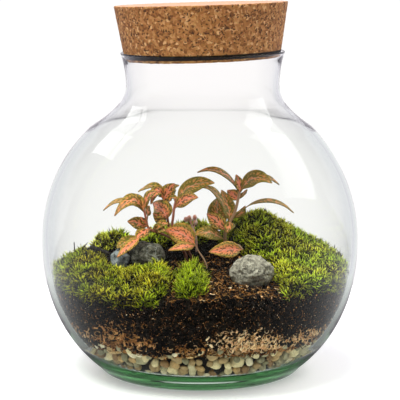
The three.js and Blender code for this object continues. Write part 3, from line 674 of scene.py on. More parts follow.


# %% [markdown]
# ## The gravel
# A drainage layer of tumbled river pebbles of 5 to 10 mm, cream, tan, ochre and grey-green. They lie packed
# against the glass and on its floor, where they show, and a turned core fills the middle, where none does. The
# core is near black: painted shade in the gaps between the pebbles.
# A pebble is a rounded ball of few faces, stretched and pushed about; five of them are enough for hundreds.

# %% Five pebbles


def pebble_model(seed):
    let_go()
    bpy.ops.mesh.primitive_ico_sphere_add(subdivisions=2, radius=1)
    pebble = bpy.context.object
    draw = np.random.default_rng(seed)
    bpy.ops.object.mode_set(mode="EDIT")
    long, wide, flat = 1.0 + 0.35 * draw.random(), 0.85 + 0.15 * draw.random(), 0.6 + 0.25 * draw.random()
    bpy.ops.transform.resize(value=(long, wide, flat))
    bpy.ops.transform.vertex_random(offset=0.09, seed=seed, normal=0.5)
    bpy.ops.object.mode_set(mode="OBJECT")
    bpy.ops.object.transform_apply()
    return pebble


# %% [markdown]
# Pebbles are thrown in at random: one that would lie in another is thrown away. The first lie against the
# glass, the next behind them, and the last, which have no inset, on the floor.

# %% Pack them against the glass
SMALLEST = 2.3  # a pebble's radius
RANGE = 2.8  # how much larger the largest is
OVERLAP = 0.90  # how near two centres may be, as a share of the two radii
THROWS = [(0, 9000), (6, 5000), (None, 3000)]  # how far in from the glass, and how many


def gravel_top(x, y):
    """The height of the gravel, which rises and falls a little."""
    return 36.5 + 2.4 * np.sin(x * 0.07 + 1) * np.cos(y * 0.06)


draw = np.random.default_rng(11)
centres, radii = np.zeros((0, 3)), np.zeros(0)
for inset, tries in THROWS:
    for _ in range(tries):
        radius = SMALLEST + RANGE * draw.random() ** 1.4
        angle = draw.random() * 2 * math.pi
        if inset is None:
            r, z = 60 * math.sqrt(draw.random()), FLOOR + 0.8 * radius
        else:
            z = FLOOR + 1 + 28 * draw.random()
            slope = float(inner_radius(z + 1) - inner_radius(z - 1)) / 2
            lean = math.hypot(1, slope)
            r = float(inner_radius(z)) - (1.08 * radius + inset) / lean
            z = max(z + (1.08 * radius + inset) * slope / lean, FLOOR + 0.8 * radius)
        centre = np.array([r * math.cos(angle), r * math.sin(angle), z])
        if z + 0.5 * radius > gravel_top(centre[0], centre[1]):
            continue
        if len(radii) and (np.linalg.norm(centres - centre, axis=1) < OVERLAP * (radii + radius)).any():
            continue
        centres, radii = np.vstack([centres, centre]), np.append(radii, radius)
count = len(radii)
axes = draw.normal(size=(count, 3)) * 0.35 + np.c_[centres[:, :2] / 90, np.full(count, -0.5)]
gravel = copies(
    [pebble_model(seed) for seed in range(5)],
    draw.integers(0, 5, count),
    stand(centres * MM, axes, radii * MM * 1.06, 3),
    draw.random(count),
)
hold(gravel)
bpy.ops.object.shade_smooth()
print(count, "pebbles")

# %% The core that fills the middle, near black as painted shade
shade_core = turn([(0, 8.4), (60, 8.7), (69, 11), (76, 16.5), (81, 27), (78, 31), (0, 31)], 64)
# Tint 0.02 gives the core the ramp's near-black stop: painted shade between the pebbles.
write_number(shade_core, "tint", 0.02)
gravel = join([gravel, shade_core])
press_inside(gravel)

# %% [markdown]
# Each pebble takes its colour from its tint: the ramp holds the kinds of stone in the mix, and its first,
# near-black stop is the core's painted shade. A faint noise mottles it, and a low roughness gives the satin of a
# tumbled stone.

# %% Tumbled pebbles
pebble_finish, tree, surface = new_finish("river_pebbles_tumbled", 0.5, Specular_IOR_Level=0.3)
tint = add(tree, "Attribute", attribute_name="tint").outputs["Fac"]
kinds_and_shade = add(
    tree,
    "ValToRGB",
    {0: tint},
    [
        # The first, near-black stop is the core's colour: painted shade between the pebbles.
        (0.0, "#1c150e"),
        (0.05, "#c9bb94"),
        (0.17, "#8b8363"),
        (0.32, "#dfcb9c"),
        (0.45, "#a68a5e"),
        (0.57, "#a59b78"),
        (0.68, "#bf9c68"),
        (0.80, "#e4d5b2"),
        (0.90, "#94724a"),
    ],
)
kinds_and_shade.color_ramp.interpolation = "CONSTANT"
mottle = add(tree, "TexNoise", {"Vector": add(tree, "TexCoord").outputs["Object"], "Scale": 420, "Detail": 4})
spread = add(tree, "MapRange", {0: mottle.outputs["Fac"], 1: 0.3, 2: 0.7, 3: 0.72, 4: 1.08})
mottled = add(
    tree,
    "Mix",
    {0: 1.0, 6: kinds_and_shade.outputs[0], 7: spread.outputs[0]},
    data_type="RGBA",
    blend_type="MULTIPLY",
)
tree.links.new(mottled.outputs[2], surface.inputs["Base Color"])
bump = add(tree, "Bump", {"Height": mottle.outputs["Fac"], "Strength": 0.2, "Distance": 0.0004})
tree.links.new(bump.outputs[0], surface.inputs["Normal"])
settle(gravel, "gravel_pebbles", [pebble_finish], ["gravel_layer"])

# %% [markdown]
# ## Coir and soil
# A mat of coir fibre keeps the soil out of the pebbles. It shows through the glass as curls of tan and
# rust-brown fibre. The soil over it is almost black and crumbly, full of fibres, with chips of bark on top.
# Both start from a copy of their CAD solid, which is remeshed finely and roughened, and then get their
# crumbs, fibres and chips, copied from a few models.

# %% A rough body from a CAD node


def body_from(node, voxel):
    """A fine, evenly meshed copy of a CAD node."""
    piece = bpy.data.objects.new(node + "_body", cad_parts[node].data.copy())
    bpy.context.collection.objects.link(piece)
    piece.data.materials.clear()
    hold(piece)
    bpy.ops.object.mode_set(mode="EDIT")
    bpy.ops.mesh.select_all(action="SELECT")
    bpy.ops.mesh.remove_doubles(threshold=0.00001)
    bpy.ops.object.mode_set(mode="OBJECT")
    apply(piece, "REMESH", mode="VOXEL", voxel_size=voxel * MM)
    return piece


# %% Models of a fibre, a crumb and a chip


def rod(points, thick, thin=None, fineness=6, sides=2):
    """A round shoot or fibre through the points, from its thick to its thin end, in millimetres."""
    let_go()
    bpy.ops.curve.primitive_bezier_curve_add()
    piece = bpy.context.object
    spline = piece.data.splines[0]
    spline.bezier_points.add(len(points) - 2)
    shares = np.linspace(1, (thin or thick) / thick, len(points))
    for share, corner, point in zip(shares, spline.bezier_points, points):
        corner.co, corner.radius = Vector(point) * MM, share
        corner.handle_left_type = corner.handle_right_type = "AUTO"
    piece.data.dimensions = "3D"
    piece.data.bevel_depth = thick * MM
    piece.data.bevel_resolution = sides
    piece.data.resolution_u = fineness
    piece.data.use_fill_caps = True
    bpy.ops.object.convert(target="MESH")
    return bpy.context.object


def fibre_model(seed, curl, thick=0.26):
    """One curled fibre about 10 mm long that lies in the XY plane; it is kept in millimetres."""
    draw = np.random.default_rng(seed)
    heading, point, points = 0.0, np.zeros(3), []
    bend = curl * (0.5 + draw.random()) * draw.choice([-1, 1])
    for _ in range(5):
        points.append(point.copy())
        heading += bend + 0.5 * draw.normal()
        point = point + 2.6 * np.array([math.cos(heading), math.sin(heading), 0.12 * draw.normal()])
    middle = np.mean(points, axis=0)
    piece = rod([p - middle for p in points], thick, thick * 0.6, 3, 0)
    piece.data.transform(Matrix.Scale(1 / MM, 4))
    return piece


def crumb_model(seed, size=(1, 0.9, 0.8)):
    """A crumb of soil, an uneven lump of few faces."""
    let_go()
    bpy.ops.mesh.primitive_ico_sphere_add(subdivisions=1, radius=1)
    bpy.ops.object.mode_set(mode="EDIT")
    bpy.ops.transform.resize(value=size)
    bpy.ops.transform.vertex_random(offset=0.28, seed=seed)
    bpy.ops.object.mode_set(mode="OBJECT")
    bpy.ops.object.transform_apply()
    return bpy.context.object


def chip_model(seed):
    """A splinter of bark, about 4 mm long."""
    let_go()
    bpy.ops.mesh.primitive_cube_add(size=1)
    bpy.ops.object.mode_set(mode="EDIT")
    bpy.ops.transform.resize(value=(4.4, 1.5, 0.7))
    bpy.ops.mesh.subdivide(number_cuts=1)
    bpy.ops.transform.vertex_random(offset=0.3, seed=seed)
    bpy.ops.object.mode_set(mode="OBJECT")
    bpy.ops.object.transform_apply()
    return bpy.context.object


def radius_of(points):
    return np.hypot(points[:, 0], points[:, 1])


def near_glass(points, depth=3.0):
    """Which points lie within this depth of the glass."""
    return radius_of(points) > inner_radius(points[:, 2]) - depth


def beside_glass(most_up):
    """A choice of the places along the glass whose faces look up less than this."""
    return lambda points, normals: near_glass(points) & (normals[:, 2] < most_up)


# %% [markdown]
# Most of the mat is dark and wet. In a few places it has been pushed up against the glass in dry curls: each
# such clump is told by its bearing and its spread in degrees, its level and height, how many fibres it has
# and how pale the darkest and the palest of them are. Chips of pith lie among the fibres, as in real coir.

# %% The coir mat
COIR_CLUMPS = [
    (17, 7, 42.5, 4.6, 330, 0.62, 1.0),
    (28, 5, 39, 3.4, 140, 0.6, 1.0),
    (47, 8, 39.5, 3.0, 240, 0.6, 0.96),
    (-36, 5, 45, 5.0, 210, 0.32, 0.66),
    (-24, 4, 41, 2.6, 90, 0.38, 0.72),
    (-2, 5, 37, 1.6, 70, 0.35, 0.8),
]
COIR_CLUMPS += [(bearing, 12, 39, 3.0, 170, 0.35, 0.85) for bearing in (75, 115, 160, -65, -100, -140, -175)]
coir_body = body_from("coir_layer", 1.6)
roughen(coir_body, "CLOUDS", 2.4, 2.0)
draw_in(coir_body, 7.5)
write_number(coir_body, "tint", 0.02)
places, faces = spots("coir_layer", 1.7, 21, beside_glass(0.9))
draw = np.random.default_rng(22)
shade = 0.1 + 0.5 * draw.random(len(places)) ** 2
for bearing, spread, level, height, count, low, high in COIR_CLUMPS:
    turn_to = np.radians(bearing + spread * np.clip(draw.normal(size=count), -2, 2))
    z = level + height * np.clip(draw.normal(size=count), -1.6, 1.9)
    r = inner_radius(z) - 0.4 - 2.2 * draw.random(count)
    places = np.vstack([places, np.c_[np.sin(turn_to) * r, -np.cos(turn_to) * r, z] * MM])
    faces = np.vstack([faces, np.c_[np.sin(turn_to), -np.cos(turn_to), -0.35 * np.ones(count)]])
    shade = np.append(shade, low + (high - low) * draw.random(count) ** 1.3)
print(len(places), "coir fibres")

# %% The fibres and chips, laid in their places
strands = [fibre_model(40 + number, 0.95, 0.3 + 0.05 * number) for number in range(6)]
strands += [chip_model(seed) for seed in range(12, 15)]
coir = copies(
    strands,
    draw.integers(0, len(strands), len(places)),
    stand(
        places - faces * (0.4 + 1.0 * draw.random((len(places), 1))) * MM,
        faces + 0.3 * draw.normal(size=faces.shape),
        (0.36 + 0.6 * draw.random(len(places))) * MM,
        23,
    ),
    shade,
)
coir = join([coir, coir_body])
press_inside(coir, 0.2)

# %% [markdown]
# Washed coir is dull, from rust-brown where it is wet to straw where it is dry. A fine noise breaks up the
# colour of each fibre, and there is almost no shine.

# %% Washed coir
coir_finish, tree, surface = new_finish("coir_fibre_washed", 0.9, Specular_IOR_Level=0.1)
tint = add(tree, "Attribute", attribute_name="tint").outputs["Fac"]
shades = add(
    tree,
    "ValToRGB",
    {0: tint},
    [(0.0, "#1c120a"), (1.0, "#f6dab0"), (0.18, "#4c2c16"), (0.4, "#96602f"), (0.6, "#c48e5a"), (0.8, "#e6b888")],
)
grain = add(tree, "TexNoise", {"Vector": add(tree, "TexCoord").outputs["Object"], "Scale": 900, "Detail": 3})
worn = add(
    tree,
    "Mix",
    {0: 0.5, 6: shades.outputs[0], 7: grain.outputs["Color"]},
    data_type="RGBA",
    blend_type="SOFT_LIGHT",
)
tree.links.new(worn.outputs[2], surface.inputs["Base Color"])
settle(coir, "coir_fibres", [coir_finish], ["coir_layer"])

# %% The soil's body
soil_body = body_from("soil", 1.35)
apply(soil_body, "SMOOTH", factor=0.5, iterations=2)
roughen(soil_body, "CLOUDS", 4.5, 3.0, 0.6)
roughen(soil_body, "CLOUDS", 1.3, 1.2, 0.5)
draw_in(soil_body, 1.9)
write_number(soil_body, "tint", 0.0)

# %% [markdown]
# Six groups make the soil: crumbs wherever it shows, fibres and pale specks along the glass, chips and fibres
# on the path to the front, and chips along its front edge. Each row gives the models, how far apart they lie,
# where, and from which size and which tint to which.

# %% Where the litter lies


def shown(points, normals):
    return (normals[:, 2] > 0.3) | near_glass(points)


def on_path(points, normals):
    return (normals[:, 2] > 0.4) & (points[:, 1] < 5) & (np.abs(points[:, 0] - 20) < 42)


def front_edge(points, normals):
    return (normals[:, 2] > 0.4) & (points[:, 1] < -55) & (points[:, 0] > -12)


# %% Crumbs, fibres, specks and bark chips
draw = np.random.default_rng(31)
at_glass = beside_glass(0.8)
crumbs = [crumb_model(seed) for seed in range(4)]
glass_fibres = [fibre_model(seed, 0.6, 0.34) for seed in range(50, 54)]
specks = [crumb_model(9, (1, 0.7, 0.5))]
path_chips = [chip_model(seed) for seed in range(3)]
path_fibres = [fibre_model(seed, 0.7, 0.34) for seed in range(60, 64)]
edge_chips = [chip_model(seed) for seed in range(5, 8)]
groups = [
    (crumbs, 2.6, shown, (0.6, 1.9), (0.0, 0.3)),
    (glass_fibres, 2.9, at_glass, (0.3, 0.85), (0.2, 0.6)),
    (specks, 2.8, at_glass, (0.24, 0.5), (0.65, 1.0)),
    (path_chips, 6.5, on_path, (0.3, 0.9), (0.5, 0.92)),
    (path_fibres, 2.3, on_path, (0.3, 0.9), (0.3, 0.8)),
    (edge_chips, 4.0, front_edge, (0.35, 0.9), (0.55, 0.95)),
]
litter = []
for number, (models, apart, where, (small, large), (low, high)) in enumerate(groups):
    at, faces = spots("soil", apart, 32 + number, where)
    sizes = (small + (large - small) * draw.random(len(at)) ** 2) * MM
    lean = faces + 0.3 * draw.normal(size=faces.shape)
    tints = low + (high - low) * draw.random(len(at)) ** 1.5
    picks = draw.integers(0, len(models), len(at))
    litter.append(copies(models, picks, stand(at, lean, sizes, 70 + number), tints))
    print(len(at), "copies in group", number)
soil = join([*litter, soil_body])
press_inside(soil, 0.2)

# %% [markdown]
# Peat is almost black when it is wet. The tint runs from that over rust-brown fibre to pale wood, and two
# noises, of clumps and of grains, make it lighter and darker.

# %% Potting soil
soil_finish, tree, surface = new_finish("peat_potting_soil_loose", 0.9, Specular_IOR_Level=0.1)
tint = add(tree, "Attribute", attribute_name="tint").outputs["Fac"]
shades = add(
    tree,
    "ValToRGB",
    {0: tint},
    [
        (0.0, "#090605"),
        (1.0, "#f4e6cc"),
        (0.3, "#241c16"),
        (0.45, "#5a361d"),
        (0.62, "#97622f"),
        (0.85, "#d8a266"),
    ],
)
place = add(tree, "TexCoord").outputs["Object"]
clump = add(tree, "TexNoise", {"Vector": place, "Scale": 330, "Detail": 2})
grain = add(tree, "TexNoise", {"Vector": place, "Scale": 1100, "Detail": 3})
both = add(tree, "Math", {0: clump.outputs["Fac"], 1: grain.outputs["Fac"]}, operation="MULTIPLY")
spread = add(tree, "MapRange", {0: both.outputs[0], 1: 0.15, 2: 0.42, 3: 0.25, 4: 2.4})
varied = add(
    tree,
    "Mix",
    {0: 1.0, 6: shades.outputs[0], 7: spread.outputs[0]},
    data_type="RGBA",
    blend_type="MULTIPLY",
)
tree.links.new(varied.outputs[2], surface.inputs["Base Color"])
bump = add(tree, "Bump", {"Height": grain.outputs["Fac"], "Strength": 0.5, "Distance": 0.0005})
tree.links.new(bump.outputs[0], surface.inputs["Normal"])
settle(soil, "soil_crumbs_and_bark", [soil_finish], ["soil"])

# %% [markdown]
# ## Stones and a twig
# One round pitted stone and two split pieces of slate lie between the moss. Each is a ball, stretched to its
# size, turned, and roughened: the round one with many pits, the slates with a few broad, shell-like faces.

# %% Stones


def stone(half, centre, turn):
    """A stone's form from the CAD's own formula, meshed finely."""
    let_go()
    bpy.ops.mesh.primitive_ico_sphere_add(subdivisions=6, radius=1)
    piece = bpy.context.object
    co = points_of(piece)
    wave = np.sin(4.1 * co[:, 0] + centre[0]) * np.cos(3.7 * co[:, 1]) * np.sin(4.6 * co[:, 2] + 1)
    squareness = np.abs(co).max(axis=1)
    co *= ((1 + 0.09 * wave) * (1 - 0.12 * (squareness - 0.8)))[:, None]
    move_points(piece, co * np.array(half) * MM)
    turned = Matrix.Rotation(math.radians(turn), 4, "Z")
    piece.data.transform(Matrix.Translation(Vector(centre) * MM) @ turned)
    return piece


round_stone = stone((15, 13, 11.8), (35.8, -58, 83.2), 8)
roughen(round_stone, "CLOUDS", 4.0, 1.6)
roughen(round_stone, "VORONOI", 2.8, 1.6, 0.45)
roughen(round_stone, "CLOUDS", 0.9, 0.45)
slate = stone((12.8, 9, 9.6), (-38.2, -5, 85.6), -6)
small_slate = stone((6.8, 6.5, 7), (-58.8, -11, 84.5), 20)
for piece in (slate, small_slate):
    roughen(piece, "VORONOI", 8.0, 3.0, 0.45)
    roughen(piece, "CLOUDS", 1.2, 0.4)
for piece in (round_stone, slate, small_slate):
    hold(piece)
    bpy.ops.object.shade_smooth()

# %% [markdown]
# Weathered stone is dry and dull, so it hardly shines. Its pits hold the dark, and split slate has pale veins
# as well, each as thin as a thread.

# %% Weathered stone and split slate


def stone_finish(name, low, middle, high, veins):
    """Grey stone: broad tones, dark pits, and pale veins of a given strength."""
    finish, tree, surface = new_finish(name, 0.8, Specular_IOR_Level=0.15)
    place = add(tree, "TexCoord").outputs["Object"]
    tone = add(tree, "TexNoise", {"Vector": place, "Scale": 260, "Detail": 8, "Roughness": 0.7})
    greys = add(tree, "ValToRGB", {0: tone.outputs["Fac"]}, [(0.32, low), (0.68, high), (0.5, middle)])
    band = add(tree, "TexNoise", {"Vector": place, "Scale": 75, "Detail": 3, "Distortion": 0.6})
    apart = add(tree, "Math", {0: band.outputs["Fac"], 1: 0.5}, operation="SUBTRACT")
    line = add(tree, "Math", {0: apart.outputs[0]}, operation="ABSOLUTE")
    vein = add(tree, "MapRange", {0: line.outputs[0], 1: 0.004, 2: 0.018, 3: veins, 4: 0.0})
    veined = add(tree, "Mix", {0: vein.outputs[0], 6: greys.outputs[0], 7: colour("#b9bab2")}, data_type="RGBA")
    grit = add(tree, "TexNoise", {"Vector": place, "Scale": 480, "Detail": 2, "Distortion": 1.2})
    pit = add(tree, "MapRange", {0: grit.outputs["Fac"], 1: 0.43, 2: 0.33, 3: 0.0, 4: 0.85})
    pitted = add(tree, "Mix", {0: pit.outputs[0], 6: veined.outputs[2], 7: colour("#1d1a16")}, data_type="RGBA")
    tree.links.new(pitted.outputs[2], surface.inputs["Base Color"])
    bump = add(tree, "Bump", {"Height": tone.outputs["Fac"], "Strength": 0.6, "Distance": 0.0008})
    tree.links.new(bump.outputs[0], surface.inputs["Normal"])
    return finish


basalt = stone_finish("basalt_pebble_weathered", "#4a463e", "#a19888", "#d8cebb", 0.0)
dark_slate = stone_finish("slate_split_dark", "#1d1d1a", "#625e52", "#aaa392", 0.8)
pale_slate = stone_finish("slate_split_pale", "#4a4d50", "#868a8d", "#b9bcbd", 0.3)
settle(round_stone, "stone_round_pitted", [basalt], ["stone_round"])
settle(slate, "stone_slate_veined", [dark_slate], ["stone_slate"])
settle(small_slate, "stone_slate_pale", [pale_slate], ["stone_slate_small"])

# %% [markdown]
# Beside the left cushion lies a bit of wet bark, so dark that little of it shows but its outline. Three dead
# stalks of moss stand up near it, and they are as dark.

# %% The twig and the dead stalks
twig = rod([(-81, 3, 89.8), (-76, 1, 89.4), (-71, -1, 87.8), (-66, -3, 86.2)], 1.9, 1.3, 8, 4)
apply(twig, "SUBSURF", levels=2, render_levels=2)
roughen(twig, "CLOUDS", 2.0, 1.1, 0.6)
stalks = [
    ((-91.8, 0, 84), (-92.3, 0, 89), (-92.7, 0, 94.6)),
    ((-81.8, 0, 86), (-83.2, 0, 89.4), (-84.8, 0, 91.6)),
    ((-72.6, 5, 91), (-73.8, 5, 96.2), (-75.4, 5, 99.6)),
]
twig = join([twig] + [rod(points, 0.5, 0.35) for points in stalks])
bark, tree, surface = new_finish("twig_bark_wet", 0.7)
grain = add(tree, "TexNoise", {"Vector": add(tree, "TexCoord").outputs["Object"], "Scale": 700, "Detail": 4})
tones = add(tree, "ValToRGB", {0: grain.outputs["Fac"]}, [(0.3, "#070505"), (0.75, "#30261f")])
tree.links.new(tones.outputs[0], surface.inputs["Base Color"])
settle(twig, "twig_of_dark_bark", [bark], ["twig"])

# %% [markdown]
# ## Moss
# A real moss cushion is thousands of small upright shoots, each a star of pointed leaves. Here they are fewer
# and larger than life, so that single shoots show. The cushion's form is the CAD solid's. Its dark inside is a
# shrunken copy of that solid, near black as painted shade between the shoots, and over it stand copies of a few
# shoots, each modelled from slim three-sided spikes. The bright tuft at the front has longer blades.

# %% Shoots of moss


def shoot_model(seed, leaves, length, width, low_tilt, high_tilt):
    """A shoot in millimetres: a stalk, and a star of leaves that stand up more towards its top."""
    draw = np.random.default_rng(seed)
    parts = []
    for number in range(leaves):
        share = number / (leaves - 1)
        tilt = math.radians(low_tilt + (high_tilt - low_tilt) * share + 7 * draw.normal())
        turn = 2.4 * number + 0.3 * draw.normal()
        long = length * (0.75 + 0.4 * draw.random())
        let_go()
        bpy.ops.mesh.primitive_cone_add(vertices=3, radius1=width, radius2=0, depth=long, location=(0, 0, 0))
        leaf = bpy.context.object
        leaf.data.transform(Matrix.Translation((0, 0, long / 2)))
        write_number(leaf, "tip", 0.12 + 0.88 * points_of(leaf)[:, 2] / long)
        leaf.data.transform(
            Matrix.Translation((0, 0, 0.4 + 1.9 * share))
            @ Matrix.Rotation(turn, 4, "Z")
            @ Matrix.Rotation(tilt, 4, "Y")
            @ Matrix.Diagonal((0.4, 1, 1, 1))
        )
        parts.append(leaf)
    let_go()
    bpy.ops.mesh.primitive_cone_add(vertices=3, radius1=0.35, radius2=0.2, depth=4)
    stalk = bpy.context.object
    write_number(stalk, "tip", 0.0)
    return join([stalk, *parts])


def star_shoots():
    return [
        shoot_model(1, 9, 4.5, 0.76, 84, 25),
        shoot_model(2, 8, 5.2, 0.7, 74, 15),
        shoot_model(3, 10, 3.8, 0.8, 88, 30),
    ]


def long_shoots():
    return [shoot_model(4, 9, 6.6, 0.72, 78, 12), shoot_model(5, 8, 7.6, 0.66, 70, 14)]


# %% Moss, from its foot to its tips


def moss_finish(name, deep, middle, light, other, dead):
    """Moss leaves: near black at the foot, which is painted shade, then brown and green, light at the tip, with
    patches of another green and shoots gone brown.
    """
    finish, tree, surface = new_finish(name, 0.6, Specular_IOR_Level=0.15)
    tip = add(tree, "Attribute", attribute_name="tip").outputs["Fac"]
    tint = add(tree, "Attribute", attribute_name="tint").outputs["Fac"]
    # The ramp's first colour, deep, is painted shade at the foot of each leaf and in the cushion's inside.
    growth_and_shade = add(tree, "ValToRGB", {0: tip}, [(0.15, deep), (1.0, light), (0.42, dead), (0.72, middle)])
    patch = add(tree, "TexNoise", {"Vector": add(tree, "TexCoord").outputs["Object"], "Scale": 45, "Detail": 2})
    fresh = add(tree, "MapRange", {0: patch.outputs["Fac"], 1: 0.42, 2: 0.62, 3: 0.0, 4: 0.6})
    greener = add(tree, "Mix", {0: fresh.outputs[0], 6: growth_and_shade.outputs[0], 7: colour(other)}, data_type="RGBA")
    rooted = add(tree, "MapRange", {0: tip, 1: 0.25, 2: 0.6})
    grown = add(tree, "Mix", {0: rooted.outputs[0], 6: growth_and_shade.outputs[0], 7: greener.outputs[2]}, data_type="RGBA")
    brown = add(tree, "MapRange", {0: tint, 1: 0.06, 2: 0.16, 3: 0.9, 4: 0.0})
    mixed = add(tree, "Mix", {0: brown.outputs[0], 6: grown.outputs[2], 7: colour(dead)}, data_type="RGBA")
    vary = add(tree, "MapRange", {0: tint, 1: 0.0, 2: 1.0, 3: 0.2, 4: 1.85})
    shares = {0: 1.0, 6: mixed.outputs[2], 7: vary.outputs[0]}
    lit = add(tree, "Mix", shares, data_type="RGBA", blend_type="MULTIPLY")
    tree.links.new(lit.outputs[2], surface.inputs["Base Color"])
    return finish


# %% [markdown]
# Shoots grow wherever the solid looks up or out, and lean a little at random. Around a bare spot, told by its
# place and its radius, none grow: the twig lies there. The tuft at the back left is set 4.5 mm lower.

# %% Growing a cushion


def moss(name, node, spacing, seed, finish, models, depth, size=1.0, bare=(0, 0, 0), down=0.0):
    """The CAD solid's form, shrunken, and shoots rooted this deep in it, so that their tips reach its face."""
    # The shrunken inside takes the deep colour: painted shade between the shoots.
    shaded_inside = body_from(node, 2.0)
    apply(shaded_inside, "DISPLACE", strength=-3.2 * MM, mid_level=0.0)
    roughen(shaded_inside, "CLOUDS", 2.4, 2.4)
    write_number(shaded_inside, "tint", 0.35)

    def grows(points, normals):
        from_bare = np.hypot(points[:, 0] - bare[0], points[:, 1] - bare[1])
        return (normals[:, 2] > -0.45) & (from_bare > bare[2])

    at, faces = spots(node, spacing, seed, grows)
    draw = np.random.default_rng(seed + 1)
    up = 0.75 * faces + np.array([0, 0, 0.5]) + 0.28 * draw.normal(size=faces.shape)
    up /= np.linalg.norm(up, axis=1, keepdims=True)
    sizes = size * (0.66 + 0.85 * draw.random(len(at)) ** 2.2)
    roots = at - up * (depth * sizes[:, None] + 2.0 * draw.random((len(at), 1))) * MM
    picks = draw.integers(0, len(models), len(at))
    shoots = copies(models, picks, stand(roots, up, sizes * MM, seed + 2), draw.random(len(at)))
    piece = join([shoots, shaded_inside])
    move_points(piece, points_of(piece) - np.array([0, 0, down * MM]))
    press_inside(piece, 0.2)
    print(len(at), "shoots")
    return settle(piece, name, [finish], [node])


# The first colour of each, near black, is painted shade at the foot of the shoots.
olive_moss = moss_finish("cushion_moss_olive", "#080602", "#a0940a", "#fff460", "#8ca814", "#4a360f")
lime_moss = moss_finish("tuft_moss_lime", "#0a0d02", "#8a9c08", "#f6f654", "#a0b212", "#3c400a")
green_moss = moss_finish("cushion_moss_green", "#0a0802", "#b8b818", "#fffc78", "#a0c428", "#5a4a14")
moss("moss_cushion_left", "moss_left", 3.7, 101, olive_moss, star_shoots(), 5.0, 1.0, (-74, -5, 9))
moss("moss_tuft_bright", "moss_bright", 3.9, 111, lime_moss, long_shoots(), 7.4)
moss("moss_tuft_back_left", "moss_back_left", 3.5, 121, green_moss, star_shoots(), 5.0, 1.1, down=4.5)
moss("moss_strip_back", "moss_back_centre", 3.6, 131, green_moss, star_shoots(), 5.0, 1.1)
moss("moss_mound_right", "moss_right", 3.7, 141, green_moss, star_shoots(), 5.0)

# %% [markdown]
# ## The nerve plants
# The plants are named for the net of veins on their leaves: here coral pink over olive green, with a green
# margin. A leaf starts as one flat, gridded sheet, which is cut to a pointed oval and bent along its midrib,
# from its base over its middle to its tip. A Solidify modifier then gives it its thickness, and its
# underside the paler finish. The numbers "across" and "tone" tell the finish where the margin and the
# midrib are and how pink that leaf is, and the leaf's own map is laid out in millimetres.

# %% One leaf


def leaf(base, middle, tip, width, turn, stalk=0.1, tone=0.5):
    """A leaf blade. turn is how far it is turned from facing the front to lying edge on, in degrees."""
    let_go()
    bpy.ops.mesh.primitive_grid_add(x_subdivisions=18, y_subdivisions=10, size=1)
    piece = bpy.context.object
    flat = points_of(piece)
    along, side = flat[:, 0] + 0.5, flat[:, 1] * 2
    start, over, end = (np.array(point, float) for point in (base, middle, tip))
    control = 2 * over - 0.5 * start - 0.5 * end
    t = along[:, None]
    midrib = (1 - t) ** 2 * start + 2 * t * (1 - t) * control + t**2 * end
    tangent = 2 * (1 - t) * (control - start) + 2 * t * (end - control)
    length = float(np.linalg.norm(tangent, axis=1).mean())
    tangent /= np.linalg.norm(tangent, axis=1, keepdims=True)
    hand = 1 if end[0] >= start[0] else -1
    angle = math.radians(turn)
    facing = np.c_[-tangent[:, 2], np.zeros(len(t)), tangent[:, 0]]
    facing *= hand * math.cos(angle) / np.linalg.norm(facing, axis=1, keepdims=True)
    across = facing + np.array([0, math.sin(angle), 0])
    across -= tangent * (across * tangent).sum(axis=1, keepdims=True)
    across /= np.linalg.norm(across, axis=1, keepdims=True)
    upper = hand * np.cross(tangent, across)
    spread = np.clip((along - stalk) / (1 - stalk), 0, 1)
    half = 0.35 + (width / 2 - 0.2) * np.sin(math.pi * spread**0.85) ** 0.85 * (1 - 0.25 * spread**5)
    offset = side * half
    puff = 0.22 * np.abs(np.sin(5.0 * spread * math.pi + 2.2 * np.abs(side))) * (half > 1.2)
    lift = 0.16 * np.abs(offset) + puff * (1 - side**2) + 0.35 * side**2 * np.sin(9 * along + width) * (half > 1.5)
    move_points(piece, (midrib + across * offset[:, None] + upper * lift[:, None]) * MM)
    for layer in piece.data.uv_layers[0].data:
        layer.uv = (layer.uv[0] * length, (layer.uv[1] - 0.5) * width)
    write_number(piece, "across", np.abs(side))
    write_number(piece, "tone", tone)
    if hand < 0:
        hold(piece)
        bpy.ops.object.mode_set(mode="EDIT")
        bpy.ops.mesh.select_all(action="SELECT")
        bpy.ops.mesh.flip_normals()
        bpy.ops.object.mode_set(mode="OBJECT")
    piece.data.materials.append(leaf_top)
    piece.data.materials.append(leaf_under)
    apply(piece, "SOLIDIFY", thickness=0.5 * MM, offset=-1.0, material_offset=1, material_offset_rim=0)
    hold(piece)
    bpy.ops.object.shade_smooth()
    return piece


# %% [markdown]
# The upper finish draws in the leaf's own map, in millimetres. The ground is coral along the midrib, orange
# further out and green at the margin. Over it lie small olive islands in rows that slant forward from the
# midrib, as the side veins do. The lower "tone" is, the larger the islands, until only a net of veins is left.

# %% Nerve-plant leaf, upper and lower side


